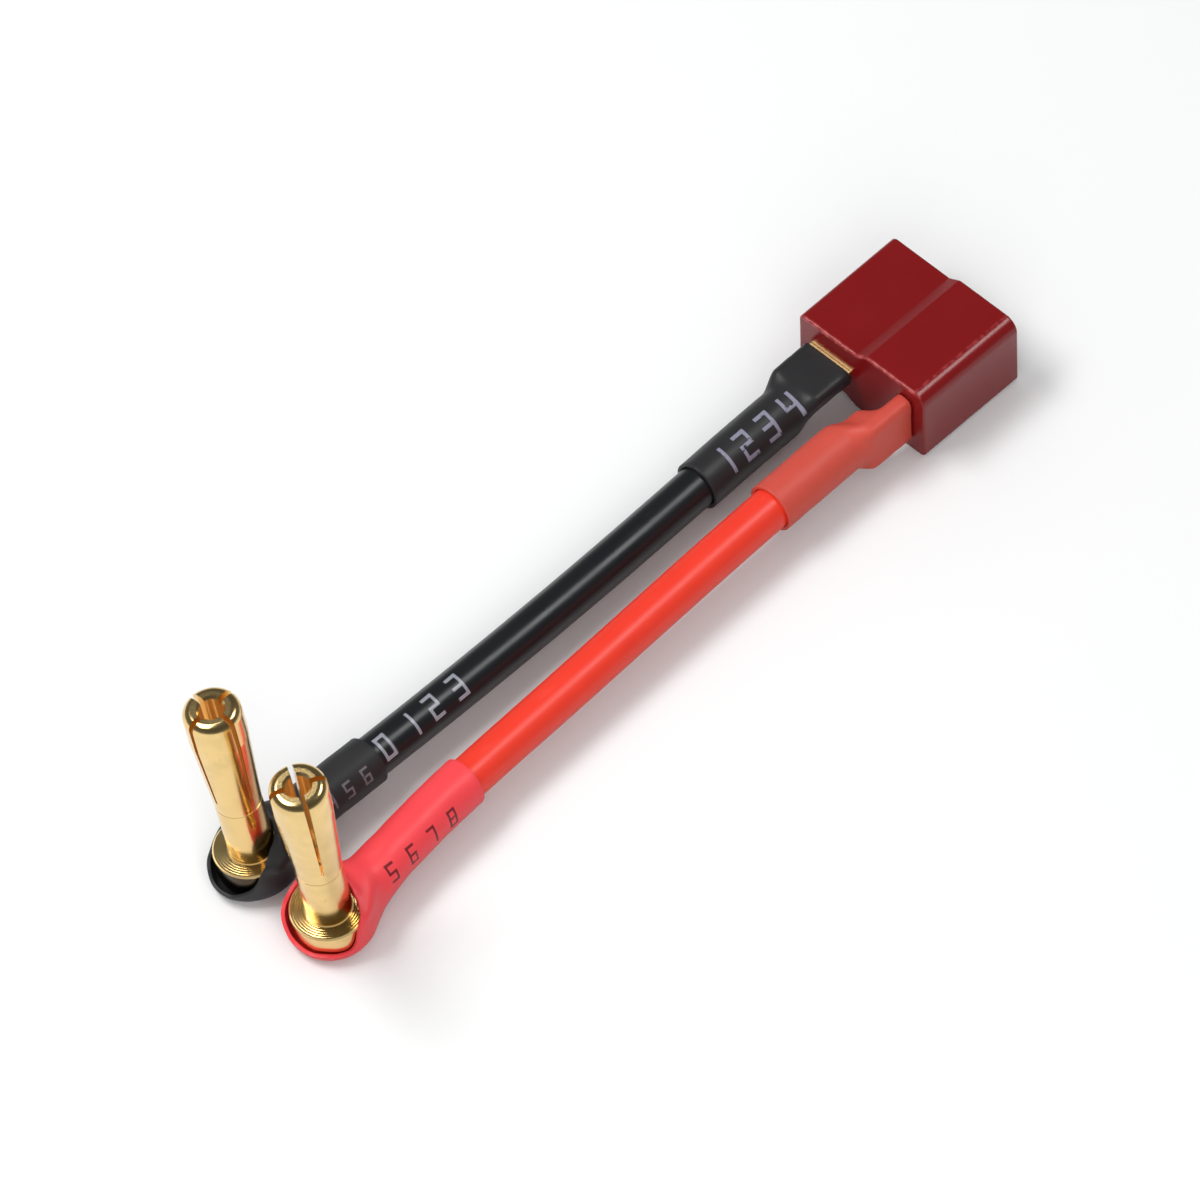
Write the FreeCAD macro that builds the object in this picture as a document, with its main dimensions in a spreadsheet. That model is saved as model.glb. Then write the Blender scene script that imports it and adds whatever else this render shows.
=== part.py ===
import FreeCAD, Part
import math
import os
import Sketcher

# A short lead that joins a T-shaped flat-blade plug to two slotted bullet pins.
# X runs along the wires, from the bullets to the plug's mating face, Y runs to the negative
# (black) side and Z is up. The origin is on the surface the lead lies on, under its middle.

Vector = FreeCAD.Vector
Rotation = FreeCAD.Rotation
Placement = FreeCAD.Placement

doc = FreeCAD.newDocument("battery_adapter")
sheet = doc.addObject("Spreadsheet::Sheet", "Sizes")

# Driving dimensions in millimetres and degrees: alias, value, meaning.
SIZES = (
    ("plug_rear_x", 36.6, "rear face of the plug housing from the origin"),
    ("plug_centre_y", 0.82, "middle of the plug housing from the origin"),
    ("plug_length", 13.05, "rear face to mating face"),
    ("plug_width", 16.4, "across both contacts"),
    ("plug_height", 8.8, "thick half of the housing"),
    ("plug_step", 0.84, "how far the thick half stands above and below the thin half"),
    ("top_ramp_start", -0.67, "top of the ramp on the upper face, from the middle"),
    ("bottom_ramp_start", 0.8, "foot of the ramp on the lower face, from the middle"),
    ("ramp_run", 1.46, "width of each ramp"),
    ("crown_radius", 1.5, "upper corner of the thick half"),
    ("heel_radius", 0.5, "lower corner of the thick half"),
    ("thin_radius", 0.7, "both corners of the thin half"),
    ("ramp_radius", 0.5, "corners of the ramps"),
    ("rim_radius", 0.25, "round along the edges of both end faces"),
    ("rear_wall", 2.2, "moulding behind the sockets"),
    ("socket_width", 6.0, "long side of each socket"),
    ("lead_in", 0.35, "chamfer round each socket's mouth"),
    ("negative_inset", 4.2, "middle of the negative contact from its side of the housing"),
    ("positive_inset", 2.45, "middle of the positive contact from its side of the housing"),
    ("contact_width", 5.2, "width of a contact blade"),
    ("contact_thickness", 1.1, "thickness of a contact blade"),
    ("contact_recess", 1.2, "contact blade's end below the mating face"),
    ("tab_length", 5.2, "solder tab behind the rear face"),
    ("tab_corner", 0.8, "round on the solder tab's corners"),
    ("blade_gap", 1.15, "room for a mating blade beside the contact"),
    ("spring_thickness", 0.25, "leaf spring"),
    ("spring_width", 4.4, "leaf spring"),
    ("spring_bow", 0.25, "how far the leaf spring bows towards the blade"),
    ("seat_clearance", 0.05, "gap round the pieces held in the housing"),
    ("solder_film", 0.1, "solder between a tab and its conductor"),
    ("solder_spread", 3.8, "width of the solder on the tab"),
    ("solder_margin", 0.25, "from the conductor's end and the tab's end to the solder"),
    ("core_setback", 2.65, "conductor's end behind the plug's rear face"),
    ("wire_diameter", 4.3, "outside of the silicone insulation"),
    ("core_diameter", 2.2, "stranded copper conductor"),
    ("core_clearance", 0.02, "between the conductor and its insulation"),
    ("strip_margin", 1.4, "bare conductor between a tab's end and the insulation"),
    ("shrink_wall", 0.36, "wall of the shrunk sleeves"),
    ("shrink_clearance", 0.05, "between a sleeve and what it is shrunk on"),
    ("negative_sleeve_gap", 0.45, "between the plug's rear face and the sleeve"),
    ("positive_sleeve_gap", 0.15, "between the plug's rear face and the sleeve"),
    ("negative_sleeve_length", 18.8, "plug end sleeve, from the plug's rear face"),
    ("positive_sleeve_length", 16.9, "plug end sleeve, from the plug's rear face"),
    ("negative_pouch_length", 14.95, "bullet end sleeve, from the pin's axis to the wire end"),
    ("positive_pouch_length", 19.15, "bullet end sleeve, from the pin's axis to the wire end"),
    ("pouch_gap", 0.12, "between a bullet's base and the sleeve round it"),
    ("pouch_bend", 1.4, "round between the underside and the side of the sleeve"),
    ("pouch_rise", 0.3, "inside of the sleeve's shoulders above the bullet's base"),
    ("neck_rise", 1.5, "inside of the sleeve's roof above the bullet's base"),
    ("negative_mouth_angle", 31.0, "slope of the sleeve's cut mouth"),
    ("positive_mouth_angle", 37.0, "slope of the sleeve's cut mouth"),
    ("negative_mouth_turn", -15.0, "turn of the mouth's slope about the upright"),
    ("positive_mouth_turn", 15.0, "turn of the mouth's slope about the upright"),
    ("mouth_lift", 0.15, "mouth above the base's upper face, at the pin's axis"),
    ("negative_bullet_x", -42.62, "foot of the negative pin from the origin"),
    ("positive_bullet_x", -42.75, "foot of the positive pin from the origin"),
    ("bullets_middle_y", -0.545, "middle between the two pins' feet"),
    ("pouch_spacing", 1.35, "between the sleeves round the two bullets' bases"),
    ("negative_lean", 7.0, "negative pin's lean away from the plug"),
    ("positive_lean", 9.1, "positive pin's lean away from the plug"),
    ("negative_side_lean", 6.0, "negative pin's lean to the side"),
    ("positive_side_lean", 0.7, "positive pin's lean to the side"),
    ("negative_slot_turn", -1.0, "negative pin's slots about its axis"),
    ("positive_slot_turn", 61.0, "positive pin's slots about its axis"),
    ("base_diameter", 7.7, "turned base of a bullet"),
    ("base_height", 3.5, "turned base of a bullet"),
    ("base_edge", 0.15, "chamfer on the base's upper edge"),
    ("base_foot", 0.75, "chamfer on the base's lower edge"),
    ("neck_diameter", 4.6, "plain part of the pin above its base"),
    ("neck_length", 7.4, "plain part of the pin above its base"),
    ("ring_depth", 0.03, "turned line at the top of the neck"),
    ("ring_width", 0.16, "turned line at the top of the neck"),
    ("contact_diameter", 5.75, "pin's contact band with its fingers at rest"),
    ("contact_band", 3.2, "length of the contact band"),
    ("pin_length", 22.0, "base's upper face to the tip"),
    ("tip_radius", 0.95, "round on the pin's tip"),
    ("tip_bore", 2.4, "hole down the middle of the fingers"),
    ("tip_chamfer", 0.25, "mouth of that hole"),
    ("bore_margin", 0.8, "hole below the slots' ends"),
    ("slot_length", 12.8, "slots from the tip"),
    ("slot_mouth", 0.55, "width of a slot at the tip"),
    ("slot_root", 0.24, "width of a slot at its end"),
    ("cup_diameter", 2.7, "solder cup drilled in the side of the base"),
    ("cup_past_axis", 1.2, "how far the solder cup goes past the pin's axis"),
    ("cup_solder_out", 0.9, "solder standing out of the cup"),
    ("core_short", 0.2, "between the conductor's end and the cup's bottom"),
)

ROW = 0
for alias, value, meaning in SIZES:
    ROW += 1
    sheet.set("A%d" % ROW, meaning)
    sheet.set("B%d" % ROW, str(value))
    sheet.setAlias("B%d" % ROW, alias)
doc.recompute()

NOTHING = 0.0
FULL_TURN = 360.0
STRAIGHT = 180.0
SQUARE = 90.0
# A cutter reaches this many times as far as the piece that it cuts.
REACH = 2.0
# A round section keeps flats this wide, so that every section has eight sides.
SECTION_FLAT = 0.04
# Each arc of a wire's route takes this share of the shorter run beside it.
ARC_SHARE = 0.45


def size(alias):
    """A driving dimension's number."""
    return float(getattr(sheet, alias))


def worked_out(expression):
    """An expression's number."""
    return float(sheet.evalExpression(expression))


def bind(thing, **expressions):
    """Ties properties to expressions on the sheet; two underlines stand for a point."""
    for name, expression in expressions.items():
        thing.setExpression(name.replace("__", "."), expression)


def origin_plane(body, role):
    """One of a body's own three planes."""
    return next(f for f in body.Origin.OriginFeatures if f.Role == role)


def new_body(name):
    body = doc.addObject("PartDesign::Body", name)
    body.Label = name
    return body


def new_sketch(body, name, role):
    sketch = body.newObject("Sketcher::SketchObject", name)
    sketch.AttachmentSupport = [(origin_plane(body, role), "")]
    sketch.MapMode = "FlatFace"
    return sketch


def pin_point(sketch, line, end, x, y):
    """Holds one end of a line at two expressions from the sketch's origin."""
    for kind, expression in (("DistanceX", x), ("DistanceY", y)):
        constraint = Sketcher.Constraint(kind, -1, 1, line, end, worked_out(expression))
        index = sketch.addConstraint(constraint)
        sketch.setExpression("Constraints[%d]" % index, expression)


def draw_polygon(sketch, corners):
    """A closed outline through corners that are pairs of expressions."""
    points = [Vector(worked_out(x), worked_out(y), 0) for x, y in corners]
    first = sketch.GeometryCount
    count = len(corners)
    for i in range(count):
        sketch.addGeometry(Part.LineSegment(points[i], points[(i + 1) % count]), False)
    for i in range(count):
        following = first + (i + 1) % count
        sketch.addConstraint(Sketcher.Constraint("Coincident", first + i, 2, following, 1))
    for i, (x, y) in enumerate(corners):
        pin_point(sketch, first + i, 1, x, y)


def draw_rectangle(sketch, x, y, width, height):
    """A rectangle about a centre, all four given as expressions."""
    left = "(%s) - (%s) / 2" % (x, width)
    right = "(%s) + (%s) / 2" % (x, width)
    low = "(%s) - (%s) / 2" % (y, height)
    high = "(%s) + (%s) / 2" % (y, height)
    draw_polygon(sketch, ((left, low), (right, low), (right, high), (left, high)))


def draw_circle(sketch, x, y, radius):
    """A circle whose centre and radius are expressions."""
    centre = Vector(worked_out(x), worked_out(y), 0)
    circle = Part.Circle(centre, Vector(0, 0, 1), worked_out(radius))
    index = sketch.addGeometry(circle, False)
    pin_point(sketch, index, 3, x, y)
    constraint = Sketcher.Constraint("Radius", index, worked_out(radius))
    sketch.setExpression("Constraints[%d]" % sketch.addConstraint(constraint), radius)


def pad(body, name, sketch, length, midplane=False):
    feature = body.newObject("PartDesign::Pad", name)
    feature.Profile = sketch
    feature.Midplane = midplane
    bind(feature, Length=length)
    body.Tip = feature
    return feature


def pocket(body, name, sketch, length, reverse=False, midplane=False):
    """Cuts a sketch into a body and makes sure that something was cut."""
    doc.recompute()
    before = body.Shape.Volume
    feature = body.newObject("PartDesign::Pocket", name)
    feature.Profile = sketch
    feature.Reversed = reverse
    feature.Midplane = midplane
    bind(feature, Length=length)
    body.Tip = feature
    doc.recompute()
    if body.Shape.Volume >= before:
        raise RuntimeError("%s cuts nothing" % name)
    return feature


def revolve(body, name, sketch):
    feature = body.newObject("PartDesign::Revolution", name)
    feature.Profile = sketch
    feature.ReferenceAxis = (sketch, ["V_Axis"])
    feature.Angle = FULL_TURN
    body.Tip = feature
    return feature


def edge_names(shape, wanted):
    """The names of the edges that pass a test."""
    return ["Edge%d" % (i + 1) for i, edge in enumerate(shape.Edges) if wanted(edge)]


def dress(body, kind, name, wanted, **expressions):
    """A fillet or chamfer on the edges of a body's last feature that pass a test."""
    doc.recompute()
    last = body.Tip
    names = edge_names(last.Shape, wanted)
    if not names:
        raise RuntimeError("%s finds no edge" % name)
    feature = body.newObject("PartDesign::" + kind, name)
    feature.Base = (last, names)
    bind(feature, **expressions)
    body.Tip = feature
    return feature


def near(a, b):
    return abs(a - b) < 1e-4


def boolean(kind, name, base, tool):
    """A cut or common of two objects."""
    feature = doc.addObject("Part::" + kind, name)
    feature.Base = base
    feature.Tool = tool
    return feature


def fuse(name, shapes):
    feature = doc.addObject("Part::MultiFuse", name)
    feature.Shapes = shapes
    return feature


def wire_object(name, wire):
    """An outline or route kept in the document for a loft or sweep to follow."""
    feature = doc.addObject("Part::Feature", name)
    feature.Shape = wire
    return feature


# The housing: a moulded bar with a thick half round the upright contact and a thin half round
# the flat one.
MIDDLE_Z = "Sizes.plug_height / 2"
HALF_WIDTH = "Sizes.plug_width / 2"
CONTACT_Y = {
    "negative": "(%s - Sizes.negative_inset)" % HALF_WIDTH,
    "positive": "(Sizes.positive_inset - %s)" % HALF_WIDTH,
}
# A socket holds the contact blade, the mating blade and the leaf spring.
SOCKET_DEEP = (
    "(Sizes.contact_thickness + Sizes.blade_gap + Sizes.spring_thickness"
    " + 2 * Sizes.seat_clearance)"
)
# The socket's middle lies this far from the contact blade's middle, on the spring's side.
SOCKET_SHIFT = "(Sizes.blade_gap + Sizes.spring_thickness) / 2"


def place_in_plug(body):
    bind(body, Placement__Base__x="Sizes.plug_rear_x", Placement__Base__y="Sizes.plug_centre_y")


def along_plug(edge):
    """Is an edge straight and parallel to the plug's length?"""
    box = edge.BoundBox
    return len(edge.Vertexes) == 2 and box.YLength < 1e-6 and box.ZLength < 1e-6


def at_corner(*corners):
    """A test for edges along the plug that pass through one of these corners."""
    places = [(worked_out(y), worked_out(z)) for y, z in corners]

    def wanted(edge):
        if not along_plug(edge):
            return False
        point = edge.Vertexes[0].Point
        return any(near(point.y, y) and near(point.z, z) for y, z in places)

    return wanted


def plug_housing():
    body = new_body("plug_housing")
    thin_top = "Sizes.plug_height - Sizes.plug_step"
    top_foot = "Sizes.top_ramp_start + Sizes.ramp_run"
    bottom_top = "Sizes.bottom_ramp_start + Sizes.ramp_run"
    heel = ("-" + HALF_WIDTH, "0 * Sizes.plug_height")
    crown = ("-" + HALF_WIDTH, "Sizes.plug_height")
    thin_low = (HALF_WIDTH, "Sizes.plug_step")
    thin_high = (HALF_WIDTH, thin_top)
    ramps = (
        ("Sizes.bottom_ramp_start", "0 * Sizes.plug_height"),
        (bottom_top, "Sizes.plug_step"),
        (top_foot, thin_top),
        ("Sizes.top_ramp_start", "Sizes.plug_height"),
    )
    section = new_sketch(body, "housing_section", "YZ_Plane")
    outline = (heel, ramps[0], ramps[1], thin_low, thin_high, ramps[2], ramps[3], crown)
    draw_polygon(section, outline)
    pad(body, "housing_bar", section, "Sizes.plug_length")
    dress(body, "Fillet", "crown", at_corner(crown), Radius="Sizes.crown_radius")
    dress(body, "Fillet", "heel", at_corner(heel), Radius="Sizes.heel_radius")
    dress(body, "Fillet", "thin_corners", at_corner(thin_low, thin_high),
          Radius="Sizes.thin_radius")
    dress(body, "Fillet", "ramp_corners", at_corner(*ramps), Radius="Sizes.ramp_radius")
    ends = (0.0, size("plug_length"))
    dress(body, "Fillet", "end_rims",
          lambda edge: edge.BoundBox.XLength < 1e-6
          and any(near(edge.BoundBox.XMin, x) for x in ends),
          Radius="Sizes.rim_radius")

    # The sockets, the slots that the contacts pass through, and the sockets' lead-ins.
    negative = (CONTACT_Y["negative"], MIDDLE_Z + " - " + SOCKET_SHIFT, "Sizes.socket_width",
                SOCKET_DEEP)
    positive = (CONTACT_Y["positive"] + " + " + SOCKET_SHIFT, MIDDLE_Z, SOCKET_DEEP,
                "Sizes.socket_width")
    slot_long = "Sizes.contact_width + 2 * Sizes.seat_clearance"
    slot_thick = "Sizes.contact_thickness + 2 * Sizes.seat_clearance"
    sockets = new_sketch(body, "socket_outlines", "YZ_Plane")
    sockets.setExpression("AttachmentOffset.Base.z", "Sizes.plug_length")
    draw_rectangle(sockets, *negative)
    draw_rectangle(sockets, *positive)
    pocket(body, "sockets", sockets, "Sizes.plug_length - Sizes.rear_wall")
    slots = new_sketch(body, "contact_slots_outlines", "YZ_Plane")
    draw_rectangle(slots, CONTACT_Y["negative"], MIDDLE_Z, slot_long, slot_thick)
    draw_rectangle(slots, CONTACT_Y["positive"], MIDDLE_Z, slot_thick, slot_long)
    pocket(body, "contact_slots", slots, "Sizes.rear_wall", reverse=True)
    spans = []
    for y, z, width, height in (negative, positive):
        spans.append([worked_out(e) for e in (y, z, width, height)])

    def socket_mouth(edge):
        box = edge.BoundBox
        if not near(box.XMin, ends[1]) or box.XLength > 1e-6:
            return False
        centre = box.Center
        return any(
            abs(centre.y - y) < width / 2 + 1e-4 and abs(centre.z - z) < height / 2 + 1e-4
            for y, z, width, height in spans
        )

    dress(body, "Chamfer", "socket_lead_ins", socket_mouth, Size="Sizes.lead_in")
    place_in_plug(body)
    return body


# The contacts and what is soldered to them are drawn flat: X along the plug from its rear face,
# Y across the blade and Z towards the wire. Each is then turned about X into its place.
TURNS = {"negative": STRAIGHT, "positive": -SQUARE}


def place_contact(thing, pole):
    """Turns and moves a piece drawn flat to its pole's place in the plug."""
    thing.Placement = Placement(Vector(), Rotation(Vector(1, 0, 0), TURNS[pole]))
    bind(thing,
         Placement__Base__x="Sizes.plug_rear_x",
         Placement__Base__y="Sizes.plug_centre_y + " + CONTACT_Y[pole],
         Placement__Base__z=MIDDLE_Z)


def contact(pole):
    """A flat blade: socket contact at one end, solder tab at the other."""
    body = new_body(pole + "_contact")
    sketch = new_sketch(body, pole + "_contact_outline", "XY_Plane")
    half = "Sizes.contact_width / 2"
    far = "Sizes.plug_length - Sizes.contact_recess"
    corners = (("-Sizes.tab_length", "-" + half), (far, "-" + half), (far, half),
               ("-Sizes.tab_length", half))
    draw_polygon(sketch, corners)
    pad(body, pole + "_contact_blade", sketch, "Sizes.contact_thickness", midplane=True)
    tab_end = -size("tab_length")

    def upright_at_tab(edge):
        box = edge.BoundBox
        return near(box.XMin, tab_end) and box.XLength < 1e-6 and box.YLength < 1e-6

    dress(body, "Fillet", pole + "_tab_corners", upright_at_tab, Radius="Sizes.tab_corner")
    nose = size("plug_length") - size("contact_recess")

    def across_nose(edge):
        box = edge.BoundBox
        return near(box.XMin, nose) and box.XLength < 1e-6 and box.ZLength < 1e-6

    dress(body, "Chamfer", pole + "_nose", across_nose, Size="Sizes.contact_thickness / 4")
    place_contact(body, pole)
    return body


def contact_spring(pole):
    """A leaf bowed towards the mating blade, its ends on the socket's wall."""
    name = pole + "_contact_spring"
    start = "(Sizes.rear_wall + Sizes.seat_clearance)"
    end = "(Sizes.plug_length - Sizes.contact_recess)"
    chord = "(%s - %s)" % (end, start)
    bow = "Sizes.spring_bow"
    # The leaf is a slice of a tube whose outside passes through both ends and the bow's top.
    radius = "((%s * %s / 4 + %s * %s) / (2 * %s))" % (chord, chord, bow, bow, bow)
    seat = "(Sizes.contact_thickness / 2 + Sizes.blade_gap)"
    middle_x = "(%s + %s) / 2" % (start, end)
    width = "Sizes.spring_width"

    def drum(label, drum_radius):
        cylinder = doc.addObject("Part::Cylinder", label)
        cylinder.Placement = Placement(Vector(), Rotation(Vector(1, 0, 0), -SQUARE))
        bind(cylinder, Radius=drum_radius, Height=width, Placement__Base__x=middle_x,
             Placement__Base__y="-%s / 2" % width,
             Placement__Base__z="%s - Sizes.spring_bow + %s" % (seat, radius))
        return cylinder

    tube = boolean("Cut", name + "_tube", drum(name + "_outer", radius),
                   drum(name + "_inner", "%s - Sizes.spring_thickness" % radius))
    window = doc.addObject("Part::Box", name + "_window")
    bind(window, Length=chord, Width=width, Height="Sizes.spring_bow + Sizes.spring_thickness",
         Placement__Base__x=start, Placement__Base__y="-%s / 2" % width,
         Placement__Base__z="%s - Sizes.spring_bow" % seat)
    leaf = boolean("Common", name, tube, window)
    place_contact(leaf, pole)
    return leaf


# The conductor's middle lies this far from the middle of the tab that it is soldered to.
CORE_OFFSET = "(Sizes.contact_thickness / 2 + Sizes.solder_film + Sizes.core_diameter / 2)"


def tab_solder(pole, core):
    """Solder that fills the corner between a tab and its conductor."""
    name = pole + "_tab_solder"
    body = new_body(name + "_blank")
    sketch = new_sketch(body, name + "_section", "YZ_Plane")
    sketch.setExpression("AttachmentOffset.Base.z", "-Sizes.tab_length + Sizes.solder_margin")
    length = "Sizes.tab_length - Sizes.core_setback - 2 * Sizes.solder_margin"
    face = "Sizes.contact_thickness / 2"
    crest = "Sizes.core_diameter / 2"
    corners = (("-Sizes.solder_spread / 2", face), ("Sizes.solder_spread / 2", face),
               (crest, CORE_OFFSET), ("-" + crest, CORE_OFFSET))
    draw_polygon(sketch, corners)
    pad(body, name + "_fillet", sketch, length)
    place_contact(body, pole)
    return boolean("Cut", name, body, core)


# The bullets: each one turned piece with a wide base, a solder cup drilled in the base's side
# and a pin split into four fingers. A bullet is drawn upright on its axis, its cup along X.
def bullet_rotation(pole):
    lean = Rotation(Vector(0, 1, 0), -size(pole + "_lean"))
    side = Rotation(Vector(1, 0, 0), -size(pole + "_side_lean"))
    return lean.multiply(side)


# The pins' feet lie this far to either side of their middle.
BULLET_ASIDE = (
    "(Sizes.base_diameter / 2 + Sizes.pouch_gap + Sizes.shrink_wall + Sizes.pouch_spacing / 2)"
)
SIDES = {"negative": 1, "positive": -1}


def bullet_placement(pole):
    """A bullet's place: its sleeve's underside touches the surface that the lead lies on."""
    rotation = bullet_rotation(pole)
    axis = rotation.multVec(Vector(0, 0, 1))
    slant = math.sqrt(1 - axis.z * axis.z)
    bend = size("pouch_bend")
    wall = size("shrink_wall")
    height = wall + size("shrink_clearance")
    flat = size("base_diameter") / 2 + size("pouch_gap") + wall - bend
    foot_z = height * axis.z + flat * slant + bend * (1 - axis.z)
    foot_y = size("bullets_middle_y") + SIDES[pole] * worked_out(BULLET_ASIDE)
    foot = Vector(size(pole + "_bullet_x"), foot_y, foot_z)
    return Placement(foot, rotation)


def bullet_pin(pole):
    name = pole + "_bullet_pin"
    body = new_body(name)
    profile = new_sketch(body, name + "_profile", "XZ_Plane")
    base = "Sizes.base_diameter / 2"
    neck = "Sizes.neck_diameter / 2"
    band = "Sizes.contact_diameter / 2"
    bore = "Sizes.tip_bore / 2"
    floor = "Sizes.base_height"
    tip = floor + " + Sizes.pin_length"
    ring = floor + " + Sizes.neck_length"
    band_start = tip + " - Sizes.tip_radius - Sizes.contact_band"
    bore_end = tip + " - Sizes.slot_length - Sizes.bore_margin"
    zero = "0 * Sizes.base_height"
    draw_polygon(profile, (
        (zero, zero),
        (base + " - Sizes.base_foot", zero),
        (base, "Sizes.base_foot"),
        (base, floor + " - Sizes.base_edge"),
        (base + " - Sizes.base_edge", floor),
        (neck, floor),
        (neck, ring),
        (neck + " - Sizes.ring_depth", ring),
        (neck + " - Sizes.ring_depth", ring + " + Sizes.ring_width"),
        (neck, ring + " + Sizes.ring_width"),
        (band, band_start),
        (band, tip),
        (bore + " + Sizes.tip_chamfer", tip),
        (bore, tip + " - Sizes.tip_chamfer"),
        (bore, bore_end),
        (zero, bore_end + " - Sizes.bore_margin"),
    ))
    revolve(body, name + "_turned", profile)
    tip_z = worked_out(tip)
    outer = size("contact_diameter") / 2

    def tip_edge(edge):
        box = edge.BoundBox
        return near(box.ZMin, tip_z) and near(box.ZMax, tip_z) and near(box.XMax, outer)

    dress(body, "Fillet", name + "_tip", tip_edge, Radius="Sizes.tip_radius")

    cup = new_sketch(body, name + "_cup_outline", "YZ_Plane")
    cup.setExpression("AttachmentOffset.Base.z", "-Sizes.cup_past_axis")
    draw_circle(cup, zero, "Sizes.base_height / 2", "Sizes.cup_diameter / 2")
    pocket(body, name + "_cup", cup, "Sizes.cup_past_axis + Sizes.base_diameter", reverse=True)

    for turn, label in ((0.0, "_first_slot"), (SQUARE, "_second_slot")):
        slot = new_sketch(body, name + label + "_outline", "XZ_Plane")
        angle = size(pole + "_slot_turn") + turn
        slot.AttachmentOffset = Placement(Vector(), Rotation(Vector(0, 1, 0), angle))
        slot_end = tip + " - Sizes.slot_length"
        over = tip + " + Sizes.slot_mouth"
        draw_polygon(slot, (
            ("-Sizes.slot_root / 2", slot_end),
            ("Sizes.slot_root / 2", slot_end),
            ("Sizes.slot_mouth / 2", over),
            ("-Sizes.slot_mouth / 2", over),
        ))
        pocket(body, name + label, slot, "Sizes.contact_diameter * %g" % REACH, midplane=True)
    body.Placement = bullet_placement(pole)
    return body


def cup_solder(pole, core):
    """Solder that fills the cup round the conductor and stands out of it in a cone."""
    name = pole + "_cup_solder"
    body = new_body(name + "_blank")
    sketch = new_sketch(body, name + "_profile", "XY_Plane")
    zero = "0 * Sizes.cup_diameter"
    cup = "Sizes.cup_diameter / 2"
    mouth = "sqrt(Sizes.base_diameter ^ 2 / 4 - Sizes.cup_diameter ^ 2 / 4)"
    rim = "Sizes.core_diameter / 2 + (Sizes.cup_diameter - Sizes.core_diameter) / 8"
    draw_polygon(sketch, (
        (zero, "-Sizes.cup_past_axis"),
        (cup, "-Sizes.cup_past_axis"),
        (cup, mouth),
        (rim, "Sizes.base_diameter / 2 + Sizes.cup_solder_out"),
        (zero, "Sizes.base_diameter / 2 + Sizes.cup_solder_out"),
    ))
    revolve(body, name + "_turned", sketch)
    place = bullet_placement(pole)
    cup_centre = place.multVec(Vector(0, 0, size("base_height") / 2))
    # The profile's axis is Y, and the cup runs along the bullet's own X.
    turn = place.Rotation.multiply(Rotation(Vector(0, 0, 1), -SQUARE))
    body.Placement = Placement(cup_centre, turn)
    return boolean("Cut", name, body, core)


# The wires. The ends of each route follow the tab and the solder cup that hold the conductor.
# Each bend between is a share of the way from the tab's run to the cup's, and how far the wire
# strays from that way across and up, in wire diameters.
BENDS = {
    "negative": ((0.183, -0.074, -0.02), (0.371, -0.124, -0.029), (0.559, -0.135, -0.019),
                 (0.739, -0.114, 0.006), (0.891, -0.075, 0.04)),
    "positive": ((0.19, 0.067, 0.007), (0.378, 0.095, -0.001), (0.565, 0.111, 0.006),
                 (0.736, 0.137, 0.049), (0.884, 0.111, 0.08)),
}
# The first run leaves the tab straight and the last enters the cup straight: shares of the
# tab's length and of the base's diameter.
TAB_RUN = 1.8
CUP_RUN = 0.95


def tab_end(pole):
    """Where the conductor starts, beside the plug's rear face, and its middle's Y and Z."""
    offset = worked_out(CORE_OFFSET)
    turn = Rotation(Vector(1, 0, 0), TURNS[pole])
    centre = Vector(size("plug_rear_x"), size("plug_centre_y") + worked_out(CONTACT_Y[pole]),
                    worked_out(MIDDLE_Z))
    return centre + turn.multVec(Vector(-size("core_setback"), 0, offset))


def route_points(pole):
    start = tab_end(pole)
    place = bullet_placement(pole)
    half = size("base_height") / 2
    inside = size("cup_past_axis") - size("core_short")
    finish = place.multVec(Vector(-inside, 0, half))
    before = place.multVec(Vector(CUP_RUN * size("base_diameter") - inside, 0, half))
    first = start - Vector(TAB_RUN * size("tab_length"), 0, 0)
    wire = size("wire_diameter")
    bends = []
    for share, across, up in BENDS[pole]:
        stray = Vector(0, across * wire, up * wire)
        bends.append(first + (before - first) * share + stray)
    return [start, first, *bends, before, finish]


def rounded_route(points):
    """Straight runs joined by tangent arcs, and the arcs' radii."""
    edges = []
    radii = []
    last = points[0]
    for i in range(1, len(points) - 1):
        corner = points[i]
        back = points[i - 1] - corner
        ahead = points[i + 1] - corner
        turn = math.pi - back.getAngle(ahead)
        reach = ARC_SHARE * min(back.Length, ahead.Length)
        radius = reach / math.tan(turn / 2)
        back.normalize()
        ahead.normalize()
        enter = corner + back * reach
        leave = corner + ahead * reach
        bisector = back + ahead
        bisector.normalize()
        middle = corner + bisector * (radius / math.cos(turn / 2) - radius)
        edges.append(Part.LineSegment(last, enter).toShape())
        edges.append(Part.Arc(enter, middle, leave).toShape())
        radii.append(radius)
        last = leave
    edges.append(Part.LineSegment(last, points[-1]).toShape())
    return Part.Wire(edges), radii


def sweep_along(name, route, radius):
    """A round bar of a bound radius along a route object."""
    ring = doc.addObject("Part::Circle", name + "_ring")
    bind(ring, Radius=radius)
    edge = route.Shape.OrderedEdges[0]
    start = edge.valueAt(edge.FirstParameter)
    direction = edge.tangentAt(edge.FirstParameter)
    ring.Placement = Placement(start, Rotation(Vector(0, 0, 1), direction))
    bar = doc.addObject("Part::Sweep", name)
    bar.Sections = [ring]
    bar.Spine = (route, ["Edge%d" % (i + 1) for i in range(len(route.Shape.Edges))])
    bar.Solid = True
    return bar


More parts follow.
